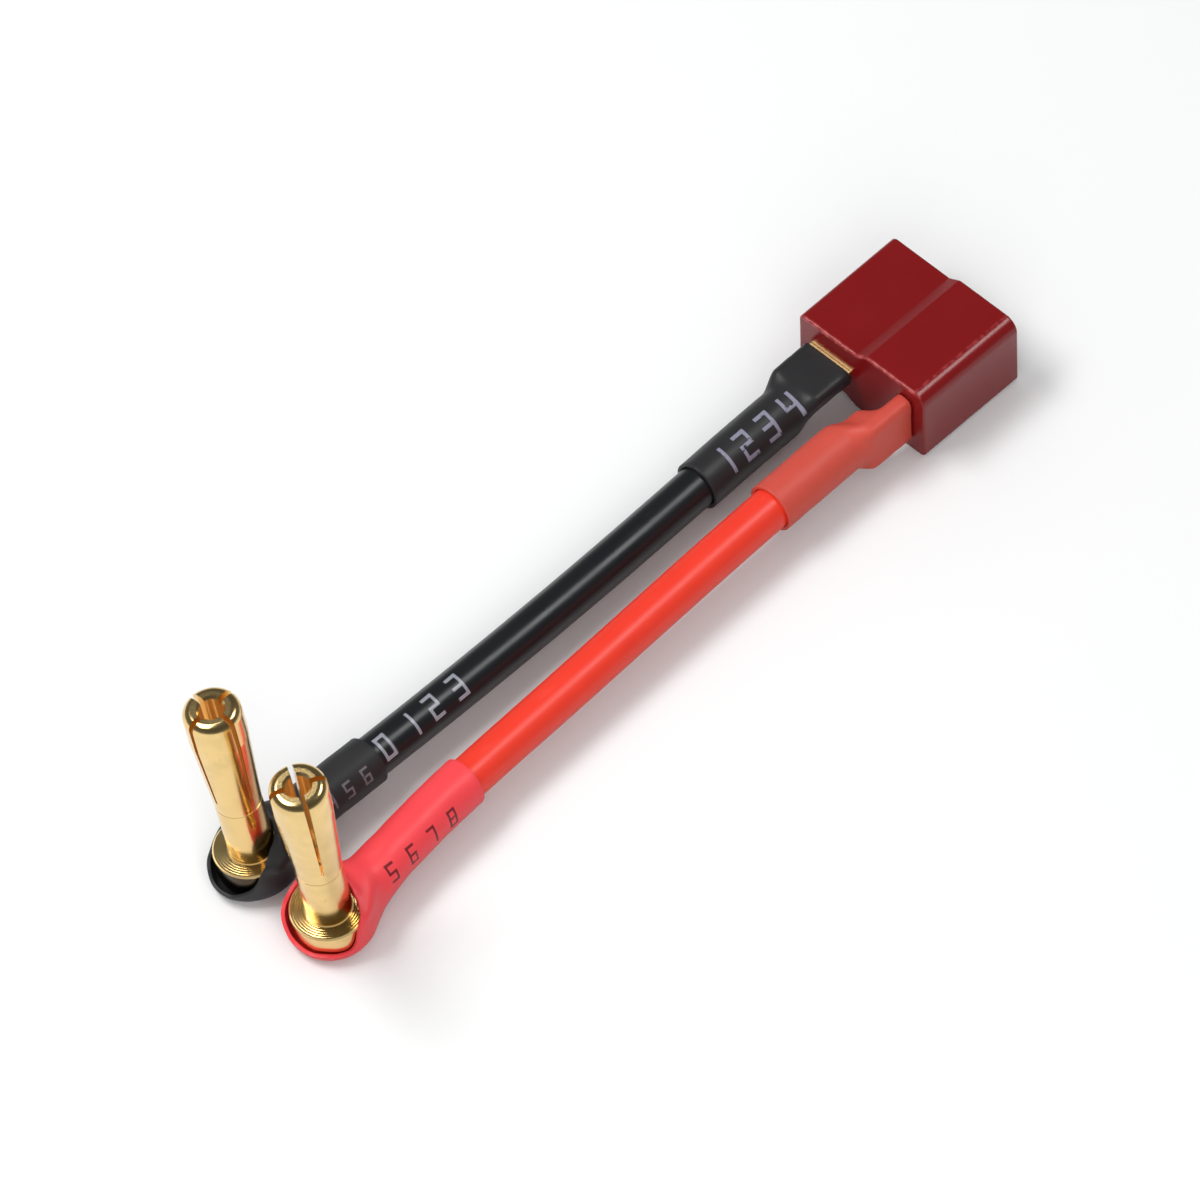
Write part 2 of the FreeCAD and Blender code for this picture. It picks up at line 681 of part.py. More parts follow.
def point_at(route, x):
    """Where a route passes a plane across X."""
    for edge in route.Shape.Edges:
        ends = (edge.FirstParameter, edge.LastParameter)
        offsets = [edge.valueAt(p).x - x for p in ends]
        if offsets[0] * offsets[1] <= 0:
            break
    low, high = ends if offsets[0] < 0 else (ends[1], ends[0])
    for _ in range(50):
        middle = (low + high) / 2
        if edge.valueAt(middle).x < x:
            low = middle
        else:
            high = middle
    return edge.valueAt(low)


def wire_parts(pole, route):
    """The stranded conductor and its insulation."""
    core = sweep_along(pole + "_conductor", route, "Sizes.core_diameter / 2")
    outside = sweep_along(pole + "_wire_outside", route, "Sizes.wire_diameter / 2")
    hollow = sweep_along(pole + "_wire_hollow", route,
                         "Sizes.core_diameter / 2 + Sizes.core_clearance")
    left = bullet_placement(pole).Base.x + size("base_diameter") / 2 + size("cup_solder_out")
    window = doc.addObject("Part::Box", pole + "_wire_window")
    reach = "Sizes.plug_width * %g" % REACH
    strip = "(Sizes.plug_rear_x - Sizes.tab_length - Sizes.strip_margin)"
    left += size("strip_margin") / 2
    window.Placement.Base = Vector(left, 0, 0)
    bind(window, Length="%s - (%.5f)" % (strip, left), Width=reach, Height=reach,
         Placement__Base__y="-(%s) / 2" % reach, Placement__Base__z="-(%s) / 2" % reach)
    stretch = boolean("Common", pole + "_wire_stretch", outside, window)
    insulation = boolean("Cut", pole + "_wire_insulation", stretch, hollow)
    return core, insulation


# The sleeves are lofted through outlines across X, each with four sides and four round corners.
def outline(x, y, z, half_y, half_z, low_corners, high_corners=None):
    """A rounded rectangle across X; the corners on the lower and upper side may differ."""
    high_corners = low_corners if high_corners is None else high_corners
    most = min(half_y, half_z) - SECTION_FLAT
    low = min(low_corners, most)
    high = min(high_corners, most)
    corners = ((1, -1, low), (1, 1, high), (-1, 1, high), (-1, -1, low))
    arcs = []
    for side_y, side_z, radius in corners:
        centre = Vector(x, y + side_y * (half_y - radius), z + side_z * (half_z - radius))
        along_y = Vector(0, side_y * radius, 0)
        along_z = Vector(0, 0, side_z * radius)
        ends = [centre + along_z, centre + along_y]
        if side_y * side_z > 0:
            ends.reverse()
        middle = centre + (along_y + along_z) * math.sqrt(0.5)
        arcs.append((ends[0], middle, ends[1]))
    edges = []
    for i, (start, middle, end) in enumerate(arcs):
        edges.append(Part.Arc(start, middle, end).toShape())
        edges.append(Part.LineSegment(end, arcs[(i + 1) % len(arcs)][0]).toShape())
    return Part.Wire(edges)


def loft(name, wires):
    sections = [wire_object("%s_section_%d" % (name, i), w) for i, w in enumerate(wires)]
    feature = doc.addObject("Part::Loft", name)
    feature.Sections = sections
    feature.Solid = True
    feature.Ruled = True
    return feature


def tab_sleeve(pole, route):
    """A sleeve shrunk flat on a solder tab, over the conductor and then round on the wire."""
    rear = size("plug_rear_x")
    tab = size("tab_length")
    centre = Vector(rear, size("plug_centre_y") + worked_out(CONTACT_Y[pole]), worked_out(MIDDLE_Z))
    turn = Rotation(Vector(1, 0, 0), TURNS[pole])
    offset = worked_out(CORE_OFFSET)
    half_width = size("contact_width") / 2
    half_thick = size("contact_thickness") / 2
    core_top = offset + size("core_diameter") / 2
    wire = size("wire_diameter") / 2
    end = rear - size(pole + "_sleeve_length")

    def skin(name, grow, past):
        """The sleeve's outside or inside; past lengthens the inside beyond both ends."""
        sharp = max(grow, 3 * SECTION_FLAT)
        wires = []

        def flat(x, top, high_corner):
            low_side = -half_thick - grow
            high_side = top + grow
            middle = turn.multVec(Vector(0, 0, (low_side + high_side) / 2))
            tall = (high_side - low_side) / 2
            wide = half_width + grow
            wires.append((x, middle, wide, tall, sharp, high_corner))

        flat(rear - size(pole + "_sleeve_gap") + past, half_thick, sharp)
        setback = size("core_setback")
        flat(rear - setback * 0.7, half_thick, sharp)
        flat(rear - setback * 0.97, core_top, size("core_diameter") * 0.75)
        flat(rear - tab, core_top, size("core_diameter") * 0.75)
        shapes = []
        for x, middle, wide, tall, low, high in wires:
            place = Placement(Vector(0, centre.y, centre.z), turn)
            shift = turn.inverted().multVec(middle)
            wire_shape = outline(x, 0, shift.z, wide, tall, low, high)
            wire_shape.Placement = place
            shapes.append(wire_shape)
        joint = rear - tab - size("strip_margin") * 0.9
        count = 4
        stations = [joint + (end - joint) * i / count for i in range(count + 1)]
        stations[-1] -= past
        for x in stations:
            spot = point_at(route, x)
            radius = wire + grow
            ring = outline(x, 0, 0, radius, radius, radius)
            ring.Placement = Placement(Vector(0, spot.y, spot.z), turn)
            shapes.append(ring)
        return loft(name, shapes)

    name = pole + "_plug_sleeve"
    clear = size("shrink_clearance")
    outside = skin(name + "_outside", clear + size("shrink_wall"), 0.0)
    inside = skin(name + "_inside", clear, size("shrink_wall") / 2)
    return boolean("Cut", name, outside, inside)


def bullet_sleeve(pole, route):
    """A sleeve that runs from the wire to a pouch round the bullet's base, with its cut mouth
    open round the pin."""
    name = pole + "_bullet_sleeve"
    place = bullet_placement(pole)
    wall = size("shrink_wall")
    clear = size("shrink_clearance")
    wire = size("wire_diameter") / 2
    foot = place.Base
    base = size("base_diameter") / 2
    end = foot.x + size(pole + "_pouch_length")
    throat = foot.x + base + wire * 1.1
    sill = foot.x + base * 0.45
    back = foot.x - base * 0.35

    def neck(label, grow, past):
        """The part over the wire, widening towards the base."""
        shapes = []
        count = 7
        stations = [end + (throat - end) * i / count for i in range(count + 1)]
        stations[0] += past
        for x in stations:
            spot = point_at(route, x)
            radius = wire + 2 * clear + grow
            shapes.append(outline(x, spot.y, spot.z, radius, radius, radius))
        wide = base + size("pouch_gap")
        roof = place.multVec(Vector(0, 0, size("base_height"))).z + size("neck_rise")
        tall = (roof - foot.z) / 2
        for x, breadth, rise in ((throat - wire * 0.35, 0.70, 0.97), (sill + base * 0.45, 0.90, 1.0),
                                 (sill, 0.97, 1.0), (back, 0.985, 1.0)):
            high = foot.z + (roof - foot.z) * rise
            half_z = tall * rise + grow
            shapes.append(outline(x, foot.y, (foot.z + high) / 2, wide * breadth + grow, half_z,
                                  half_z * 0.9))
        return loft(label, shapes)

    def pouch(label, grow, top):
        """The round part under and about the base."""
        body = new_body(label)
        sketch = new_sketch(body, label + "_profile", "XZ_Plane")
        radius = base + size("pouch_gap") + grow
        bottom = -clear - grow
        bend = size("pouch_bend") - wall + grow
        flat = radius - bend
        turn_x = flat + bend * math.sin(math.pi / 4)
        turn_z = bottom + bend * (1 - math.cos(math.pi / 4))
        lines = (
            Part.LineSegment(Vector(0, bottom, 0), Vector(flat, bottom, 0)),
            Part.Arc(Vector(flat, bottom, 0), Vector(turn_x, turn_z, 0),
                     Vector(radius, bottom + bend, 0)),
            Part.LineSegment(Vector(radius, bottom + bend, 0), Vector(radius, top, 0)),
            Part.LineSegment(Vector(radius, top, 0), Vector(0, top, 0)),
            Part.LineSegment(Vector(0, top, 0), Vector(0, bottom, 0)),
        )
        for line in lines:
            sketch.addGeometry(line, False)
        revolve(body, label + "_turned", sketch)
        body.Placement = place
        return body

    top = size("base_height") + size("pouch_rise")
    outside = fuse(name + "_outside", [neck(name + "_neck", wall, 0.0),
                                       pouch(name + "_pouch", wall, top + wall)])
    passage = doc.addObject("Part::Cylinder", name + "_pin_passage")
    passage.Placement = place
    bind(passage, Radius="Sizes.neck_diameter / 2 + 2 * Sizes.shrink_clearance",
         Height="Sizes.pin_length")
    inside = fuse(name + "_inside", [neck(name + "_neck_hollow", 0.0, wall / 2),
                                     pouch(name + "_pouch_hollow", 0.0, top), passage])
    shell = boolean("Cut", name + "_shell", outside, inside)

    # The mouth: all above a plane that slopes down past the pin.
    knife = doc.addObject("Part::Box", name + "_mouth")
    reach = base * 4
    bind(knife, Length="%g" % reach, Width="%g" % reach, Height="%g" % reach)
    crossing = place.multVec(Vector(0, 0, size("base_height") + size("mouth_lift")))
    slope = Rotation(Vector(0, 0, 1), size(pole + "_mouth_turn")).multiply(
        Rotation(Vector(0, 1, 0), -size(pole + "_mouth_angle")))
    corner = crossing + slope.multVec(Vector(-reach / 2, -reach / 2, 0))
    knife.Placement = Placement(corner, slope)
    return boolean("Cut", name, shell, knife)


def print_route(pole, points, route, radii, core):
    """Says how the route runs, and that the swept conductor is whole."""
    length = route.Shape.Length
    section = math.pi * (size("core_diameter") / 2) ** 2
    runs = [(b - a).Length for a, b in zip(points, points[1:])]
    print(pole, "runs", [round(r, 2) for r in runs])
    print(pole, "radii", [round(r, 1) for r in radii])
    print(pole, "length", round(length, 2), "volume ratio",
          round(core.Shape.Volume / (section * length), 4))
    print(pole, "points", [tuple(round(c, 3) for c in p) for p in points])


def build():
    pieces = [plug_housing()]
    for pole in ("negative", "positive"):
        points = route_points(pole)
        wire, radii = rounded_route(points)
        route = wire_object(pole + "_route", wire)
        core, insulation = wire_parts(pole, route)
        pieces += [
            contact(pole),
            contact_spring(pole),
            tab_solder(pole, core),
            core,
            insulation,
            tab_sleeve(pole, route),
            bullet_sleeve(pole, route),
            bullet_pin(pole),
            cup_solder(pole, core),
        ]
        doc.recompute()
        print_route(pole, points, route, radii, core)
        place = bullet_placement(pole)
        print(pole, "bullet foot", place.Base, "axis", place.Rotation.multVec(Vector(0, 0, 1)))
    for piece in pieces:
        piece.Label = piece.Name
    return pieces


def check(pieces):
    """Stops at anything that failed, before a file is written."""
    for thing in doc.Objects:
        if "Invalid" in thing.State or "Error" in thing.State:
            raise RuntimeError("%s failed: %s" % (thing.Name, thing.State))
    for piece in pieces:
        shape = piece.Shape
        if shape.isNull() or not shape.isValid() or not shape.Solids:
            raise RuntimeError("%s has no valid solid" % piece.Label)
        print("%-26s solids %d faces %3d volume %9.3f" % (
            piece.Label, len(shape.Solids), len(shape.Faces), shape.Volume))


def export(pieces):
    os.makedirs("parts", exist_ok=True)
    for piece in pieces:
        piece.Shape.exportStep("parts/%s.step" % piece.Label)


PIECES = build()
doc.recompute()
check(PIECES)
export(PIECES)
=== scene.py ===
"""Looks of a short two-wire lead: a T-shaped flat-blade plug and two sprung bullet pins.

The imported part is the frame. The wires and sleeves are modelled here over their solids, and every
other solid is kept and gets its finish.
"""
import math

import bmesh
import bpy
from mathutils import Matrix, Vector, noise


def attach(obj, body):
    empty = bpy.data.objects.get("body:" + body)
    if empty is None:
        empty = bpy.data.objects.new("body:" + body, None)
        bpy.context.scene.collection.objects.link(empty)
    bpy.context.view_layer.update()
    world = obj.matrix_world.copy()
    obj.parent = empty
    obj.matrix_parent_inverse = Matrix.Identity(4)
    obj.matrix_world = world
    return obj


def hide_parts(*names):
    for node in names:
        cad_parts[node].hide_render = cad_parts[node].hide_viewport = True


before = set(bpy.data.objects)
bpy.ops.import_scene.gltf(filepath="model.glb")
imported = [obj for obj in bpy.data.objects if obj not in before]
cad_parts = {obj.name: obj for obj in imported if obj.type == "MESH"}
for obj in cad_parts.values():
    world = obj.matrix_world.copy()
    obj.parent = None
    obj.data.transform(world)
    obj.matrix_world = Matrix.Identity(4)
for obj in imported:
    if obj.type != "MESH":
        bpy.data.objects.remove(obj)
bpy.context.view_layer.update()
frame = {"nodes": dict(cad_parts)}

bl_info = {
    "name": "Battery adapter lead",
    "version": (1, 0, 0),
    "blender": (4, 5, 0),
    "location": "3D View > Sidebar > Adapter lead",
    "description": "Builds the looks of a two-wire battery adapter lead",
    "category": "Object",
}

MM = 0.001
POLES = ("negative", "positive")

# The part's own sizes and places, in millimetres and degrees.
PLUG_REAR = 36.6
PLUG_MIDDLE = (0.82, 4.4)
PLUG_HEIGHT = 8.8
PLUG_HALF_WIDTH = 8.2
# The thin half lies this far below the thick half, past a ramp between two distances from the
# plug's middle.
PLUG_STEP = 0.84
RAMP = (0.79, -0.67)
TAB_Y = {"negative": 4.0, "positive": -5.75}
TAB_LENGTH = 5.2
TAB_HALF = (2.6, 0.55)
# The conductor's middle from its tab's middle, and its end from the plug's rear face.
CORE_OFFSET = 1.75
CORE_SETBACK = 2.65
WIRE_RADIUS = 2.15
CLEARANCE = 0.05
SLEEVE_START = {"negative": 0.45, "positive": 0.15}
SLEEVE_END = {"negative": 18.8, "positive": 16.9}
# The wires' routes, which are the part's own.
ROUTES = {
    "negative": (
        (30.0, 4.82, 2.65), (24.59, 4.82, 2.65), (13.4, 4.47, 2.70), (1.9, 4.22, 2.80),
        (-9.6, 4.14, 2.98), (-20.6, 4.20, 3.22), (-29.9, 4.34, 3.48), (-37.17, 4.64, 3.31),
    ),
    "positive": (
        (30.0, -3.18, 4.40), (24.59, -3.18, 4.40), (12.93, -3.34, 4.28), (1.39, -3.66, 4.10),
        (-10.09, -4.03, 3.98), (-20.59, -4.32, 4.03), (-29.67, -4.78, 4.05), (-37.30, -5.53, 3.53),
    ),
}
# Each bullet's foot, its lean back and to the side, and where its sleeve ends on the wire.
BULLET = {
    "negative": {"foot": (-42.62, 4.46, 0.8917), "lean": (7.0, 6.0), "end": -27.67},
    "positive": {"foot": (-42.75, -5.55, 0.8873), "lean": (9.1, 0.7), "end": -23.60},
}
BASE_RADIUS = 3.85
BASE_HEIGHT = 3.5
NECK_RADIUS = 2.3
NECK_LENGTH = 7.4
BAND_RADIUS = 2.875
BORE_RADIUS = 1.2
SLOT_LENGTH = 12.8
RING_PITCH = 0.26
PIN_TOP = BASE_HEIGHT + 22.0
POUCH_GAP = 0.12

# The strokes of each figure: a on top, b and c at the right, d below, e and f at the left and
# g in the middle.
STROKES = {"0": "abcdef", "1": "bc", "2": "abged", "3": "abgcd", "4": "fgbc", "5": "afgcd",
           "6": "afgedc", "7": "abc", "8": "abcdefg"}
DOT_PITCH = 0.17
# Printed figures: the first one's X, their pitch, the tube's middle (Y, Z), the print's turn about
# X, its height and whether it is made of dots.
PRINTS = {
    "negative_plug_film": {"text": "1234", "first": 19.6, "pitch": 3.1, "middle": (4.68, 2.66),
                           "turn": 28.6, "height": 2.9},
    "negative_wire": {"text": "0123", "first": -27.0, "pitch": 3.3, "middle": (4.22, 3.2),
                      "turn": 26.0, "height": 2.5, "dots": True},
    "negative_bullet_film": {"text": "456", "first": -35.0, "pitch": 2.3, "middle": (4.5, 3.4),
                             "turn": 56.0, "height": 1.7},
    "positive_bullet_film": {"text": "5678", "first": -37.2, "pitch": 2.9, "middle": (-5.0, 3.9),
                             "turn": 66.0, "height": 1.9},
}


# Sizes and colours that a user would change.

def colour(name, what, value):
    """A colour property, in linear light."""
    return bpy.props.FloatVectorProperty(
        name=name, description=what, subtype="COLOR", size=3, min=0.0, max=1.0, default=value)


def millimetres(name, what, value):
    """A size property, in millimetres."""
    return bpy.props.FloatProperty(name=name, description=what, default=value, min=0.0)


class LeadSizes(bpy.types.PropertyGroup):
    """Sizes of the shrunk sleeves, in millimetres."""

    wall: millimetres("Sleeve wall", "Thickness of a shrunk sleeve", 0.36)
    ripple: millimetres("Ripple", "How far a sleeve's surface strays from even", 0.035)
    lip_wander: millimetres("Lip wander", "How far a cut mouth strays from even", 0.22)


class LeadColours(bpy.types.PropertyGroup):
    """Colours of the finishes."""

    housing: colour("Housing", "Dark red moulding", (0.212, 0.0052, 0.0066))
    gold: colour("Gold plate", "Plating of pins and tabs", (0.86, 0.62, 0.27))
    red_wire: colour("Red wire", "Silicone insulation", (0.93, 0.042, 0.018))
    black_wire: colour("Black wire", "Silicone insulation", (0.010, 0.012, 0.014))
    red_sleeve: colour("Red sleeve", "Sleeve at the plug", (0.66, 0.078, 0.052))
    pink_sleeve: colour("Pink red sleeve", "Sleeve at the bullet", (0.98, 0.062, 0.075))
    black_sleeve: colour("Black sleeve", "Both black sleeves", (0.024, 0.024, 0.026))


class LeadLight(bpy.types.PropertyGroup):
    """Levels of the studio light."""

    sky: bpy.props.FloatProperty(name="Sky", description="Light from all round", default=0.49)
    key: bpy.props.FloatProperty(name="Key", description="Softbox behind the lead", default=0.54)
    top: bpy.props.FloatProperty(
        name="Top", description="Softbox that is only reflected", default=0.22)
    fill: bpy.props.FloatProperty(name="Fill", description="Softbox by the camera", default=0.32)


# Shader maths.

class Term:
    """A socket or a number in a shader expression."""

    def __init__(self, nodes, value):
        self.nodes = nodes
        self.value = value

    def math(self, operation, *others):
        """One step of maths on this and the other values."""
        return self.nodes.node("ShaderNodeMath", {"operation": operation}, self, *others)

    def __add__(self, other):
        return self.math("ADD", other)

    def __radd__(self, other):
        return self.math("ADD", other)

    def __sub__(self, other):
        return self.math("SUBTRACT", other)

    def __rsub__(self, other):
        return Term(self.nodes, other).math("SUBTRACT", self)

    def __mul__(self, other):
        return self.math("MULTIPLY", other)

    def __rmul__(self, other):
        return self.math("MULTIPLY", other)

    def __truediv__(self, other):
        return self.math("DIVIDE", other)

    def __abs__(self):
        return self.math("ABSOLUTE")


class Nodes:
    """The nodes of a material or of the world."""

    def __init__(self, tree):
        self.tree = tree

    def node(self, kind, settings, *values, out=0, **named):
        """A node with its settings, then the values or links of its sockets."""
        made = self.tree.nodes.new(kind)
        for key, value in settings.items():
            setattr(made, key, value)
        for key, value in list(enumerate(values)) + list(named.items()):
            socket = made.inputs[key if isinstance(key, int) else key.replace("_", " ")]
            self.join(value, socket)
        return Term(self, made.outputs[out])

    def join(self, value, socket):
        """Links a value to a socket, or sets the socket to a plain one."""
        value = value.value if isinstance(value, Term) else value
        if isinstance(value, bpy.types.NodeSocket):
            self.tree.links.new(value, socket)
        elif socket.type == "RGBA" and len(value) == 3:
            socket.default_value = (*value, 1.0)
        else:
            socket.default_value = value

    def outputs(self, kind, names, *values):
        """Several outputs of one node."""
        made = self.node(kind, {}, *values).value.node
        return [Term(self, made.outputs[name]) for name in names]

    def ramp(self, value, low, high):
        """0 below low, 1 above high and smooth between them; low may be the larger."""
        settings = {"interpolation_type": "SMOOTHSTEP"}
        return self.node("ShaderNodeMapRange", settings, value, low, high, 0.0, 1.0)

    def mix(self, factor, first, second):
        """Two colours by a factor."""
        settings = {"data_type": "RGBA"}
        made = self.node("ShaderNodeMix", settings, out=2).value.node
        for value, socket in ((factor, made.inputs[0]), (first, made.inputs[6]),
                              (second, made.inputs[7])):
            self.join(value, socket)
        return Term(self, made.outputs[2])


class Paint(Nodes):
    """A material, with the place on its piece in millimetres."""

    def __init__(self, name):
        self.material = bpy.data.materials.new(name)
        self.material.use_nodes = True
        super().__init__(self.material.node_tree)
        self.shader = self.tree.nodes["Principled BSDF"]
        self.place = self.node("ShaderNodeTexCoord", {}, out="Object")
        self.x, self.y, self.z = (
            axis * (1 / MM) for axis in self.outputs("ShaderNodeSeparateXYZ", "XYZ", self.place))

    def noise(self, scale, detail=2.0, stretch=(1, 1, 1)):
        """Cloudy noise from 0 to 1; scale is in lumps per metre."""
        vector = self.place
        if stretch != (1, 1, 1):
            vector = self.node("ShaderNodeMapping", {}, vector, Scale=stretch)
        return self.node("ShaderNodeTexNoise", {}, Vector=vector, Scale=scale, Detail=detail,
                         out="Fac")

    def bump(self, height, distance):
        """Relief of a height from 0 to 1, its distance in metres."""
        return self.node("ShaderNodeBump", {}, Distance=distance, Height=height)

    def box(self, across, up, left, right, low, high):
        """1 inside a rectangle on two coordinates in millimetres."""
        soft = 0.04
        return (self.ramp(across - left, -soft, soft) * self.ramp(right - across, -soft, soft)
                * self.ramp(up - low, -soft, soft) * self.ramp(high - up, -soft, soft))

    def figures(self, text, first, pitch, middle, turn, height, dots=False):
        """Plain figures of straight strokes, printed along a tube that lies on the X axis."""
        c, s = math.cos(math.radians(turn)), math.sin(math.radians(turn))
        y, z = self.y - middle[0], self.z - middle[1]
        up = y * c + z * s + height / 2
        cell = ((self.x - first) / pitch).math("FLOOR")
        across = self.x - first - cell * pitch
        here = [cell.math("COMPARE", float(i), 0.1) for i in range(len(text))]
        wide, stroke, half = height * 0.56, 0.13 * height, height / 2
        mask = 0.0
        for name, (left, right, low, high) in {
            "a": (0, wide, height - stroke, height), "b": (wide - stroke, wide, half, height),
            "c": (wide - stroke, wide, 0, half), "d": (0, wide, 0, stroke),
            "e": (0, stroke, 0, half), "f": (0, stroke, half, height),
            "g": (0, wide, half - stroke / 2, half + stroke / 2),
        }.items():
            lit = [shown for shown, figure in zip(here, text) if name in STROKES[figure]]
            if lit:
                mask = self.box(across, up, left, right, low, high) * sum(lit) + mask
        mask = mask.math("MINIMUM", 1.0) * self.ramp(z * c - y * s, 0.2, 0.6)
        if dots:
            column, row = ((way / DOT_PITCH).math("FRACT") - 0.5 for way in (self.x, up))
            mask = mask * self.ramp(abs(column) + abs(row), 0.66, 0.40)
        return mask

    def finish(self, constants, **varying):
        """Sets the shader's constant sockets by name, and joins those that vary."""
        for name, value in constants.items():
            self.join(value, self.shader.inputs[name])
        for name, value in varying.items():
            self.join(value, self.shader.inputs[name.replace("_", " ")])
        return self.material


def dress(obj, material):
    """Gives an object one material."""
    obj.data.materials.clear()
    obj.data.materials.append(material)


# Geometry helpers. Points are worked out in millimetres and written in metres.

def new_piece(name, mesh, node):
    """Adds a mesh made by bmesh as a piece that stands for a node."""
    data = bpy.data.meshes.new(name)
    mesh.to_mesh(data)
    mesh.free()
    data.shade_smooth()
    obj = bpy.data.objects.new(name, data)
    bpy.context.scene.collection.objects.link(obj)
    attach(obj, "root")
    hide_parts(node)
    return obj


def modifier(obj, kind, **settings):
    """Adds a modifier with its settings."""
    made = obj.modifiers.new(kind.title(), kind)
    for key, value in settings.items():
        setattr(made, key, value)


def give_wall(obj, wall):
    """Gives a film its thickness and rounds the edges of its ends."""
    modifier(obj, "SOLIDIFY", thickness=wall * MM, offset=-1.0)
    modifier(obj, "BEVEL", width=0.07 * MM, segments=2, limit_method="ANGLE",
             angle_limit=math.radians(50))


def ease(value, low, high):
    """0 below low, 1 above high, smooth between."""
    share = min(max((value - low) / (high - low), 0.0), 1.0)
    return share * share * (3 - 2 * share)


def sleeve_mesh(rings):
    """A tube through rings of points: each ring is extruded from the one before it."""
    mesh = bmesh.new()
    count = len(rings[0])
    bmesh.ops.create_circle(mesh, cap_ends=False, segments=count, radius=MM)
    mesh.verts.ensure_lookup_table()
    loop = list(mesh.verts)
    edges = list(mesh.edges)
    for i, ring in enumerate(rings):
        if i:
            grown = bmesh.ops.extrude_edge_only(mesh, edges=edges)["geom"]
            fresh = {v for v in grown if isinstance(v, bmesh.types.BMVert)}
            edges = [e for e in grown if isinstance(e, bmesh.types.BMEdge)
                     and e.verts[0] in fresh and e.verts[1] in fresh]
            loop = [next(e.other_vert(v) for e in v.link_edges if e.other_vert(v) in fresh)
                    for v in loop]
        for vert, point in zip(loop, ring):
            vert.co = Vector(point) * MM
    bmesh.ops.recalc_face_normals(mesh, faces=list(mesh.faces))
    centre = sum((Vector(p) for p in rings[0]), Vector()) / count * MM
    face = min(mesh.faces, key=lambda f: (f.calc_center_median() - centre).length)
    if face.normal.dot(face.calc_center_median() - centre) < 0:
        bmesh.ops.reverse_faces(mesh, faces=list(mesh.faces))
    return mesh


def smoothed(rings, passes):
    """Rings drawn towards their neighbours, apart from the first and the last."""
    for _ in range(passes):
        inner = [[a * 0.25 + b * 0.5 + c * 0.25 for a, b, c in zip(*rings[i - 1:i + 2])]
                 for i in range(1, len(rings) - 1)]
        rings = [rings[0], *inner, rings[-1]]
    return rings


def rippled(centre, away, scale, seed, ripple):
    """A film's point, this way from a centre, strayed in or out by a smooth unevenness."""
    point = centre + away
    return point + away.normalized() * noise.noise(point * scale + Vector(seed)) * ripple


# Directions in which a film's reach is measured, and how nearly one has to point along a radius to
# bear on it.
HULL_FACING = 0.05
HULL_STEPS = 120
HULL = [(math.cos(2 * math.pi * i / HULL_STEPS), math.sin(2 * math.pi * i / HULL_STEPS))
        for i in range(HULL_STEPS)]


def taut(supports, count):
    """Radii at even angles of the tight outline that reaches this far in each direction."""
    radii = []
    for j in range(count):
        angle = 2 * math.pi * j / count
        c, s = math.cos(angle), math.sin(angle)
        radii.append(min(h / (c * a + s * b) for h, (a, b) in zip(supports, HULL)
                         if c * a + s * b > HULL_FACING))
    return radii


def taut_round(rounds, grow, count):
    """Radii of a film stretched round rounds (across, up, radius) about the middle."""
    supports = [max(a * u + b * v + r for u, v, r in rounds) + grow for a, b in HULL]
    return taut(supports, count)


def tautened(radii):
    """Radii at even angles of the film stretched round an outline that its own radii give."""
    count = len(radii)
    turns = [2 * math.pi * j / count for j in range(count)]
    points = [(r * math.cos(t), r * math.sin(t)) for r, t in zip(radii, turns)]
    supports = [max(a * x + b * y for x, y in points) for a, b in HULL]
    return taut(supports, count)


class Line:
    """A wire's middle, read from its own spline."""

    def __init__(self, curve_object):
        bare = curve_object.data.copy()
        bare.bevel_depth = 0.0
        probe = bpy.data.objects.new("probe", bare)
        bpy.context.scene.collection.objects.link(probe)
        graph = bpy.context.evaluated_depsgraph_get()
        mesh = bpy.data.meshes.new_from_object(probe.evaluated_get(graph))
        self.points = sorted((v.co.copy() / MM for v in mesh.vertices), key=lambda p: p.x)
        bpy.data.objects.remove(probe)
        bpy.data.meshes.remove(mesh)
        bpy.data.curves.remove(bare)

    def at(self, x):
        """The middle where it passes this X; past its ends it keeps its last slope."""
        points = self.points
        i = 1
        while i < len(points) - 1 and points[i].x < x:
            i += 1
        a, b = points[i - 1], points[i]
        share = (x - a.x) / (b.x - a.x)
        return a + (b - a) * share


# The wires' middles, read once the wires are built.
LINES = {}


def bullet_frame(pole):
    """A bullet's own axes as a matrix, in millimetres."""
    facts = BULLET[pole]
    lean, side = facts["lean"]
    turn = Matrix.Rotation(math.radians(-lean), 4, "Y") @ Matrix.Rotation(
        math.radians(-side), 4, "X")
    return Matrix.Translation(facts["foot"]) @ turn


# Finishes.

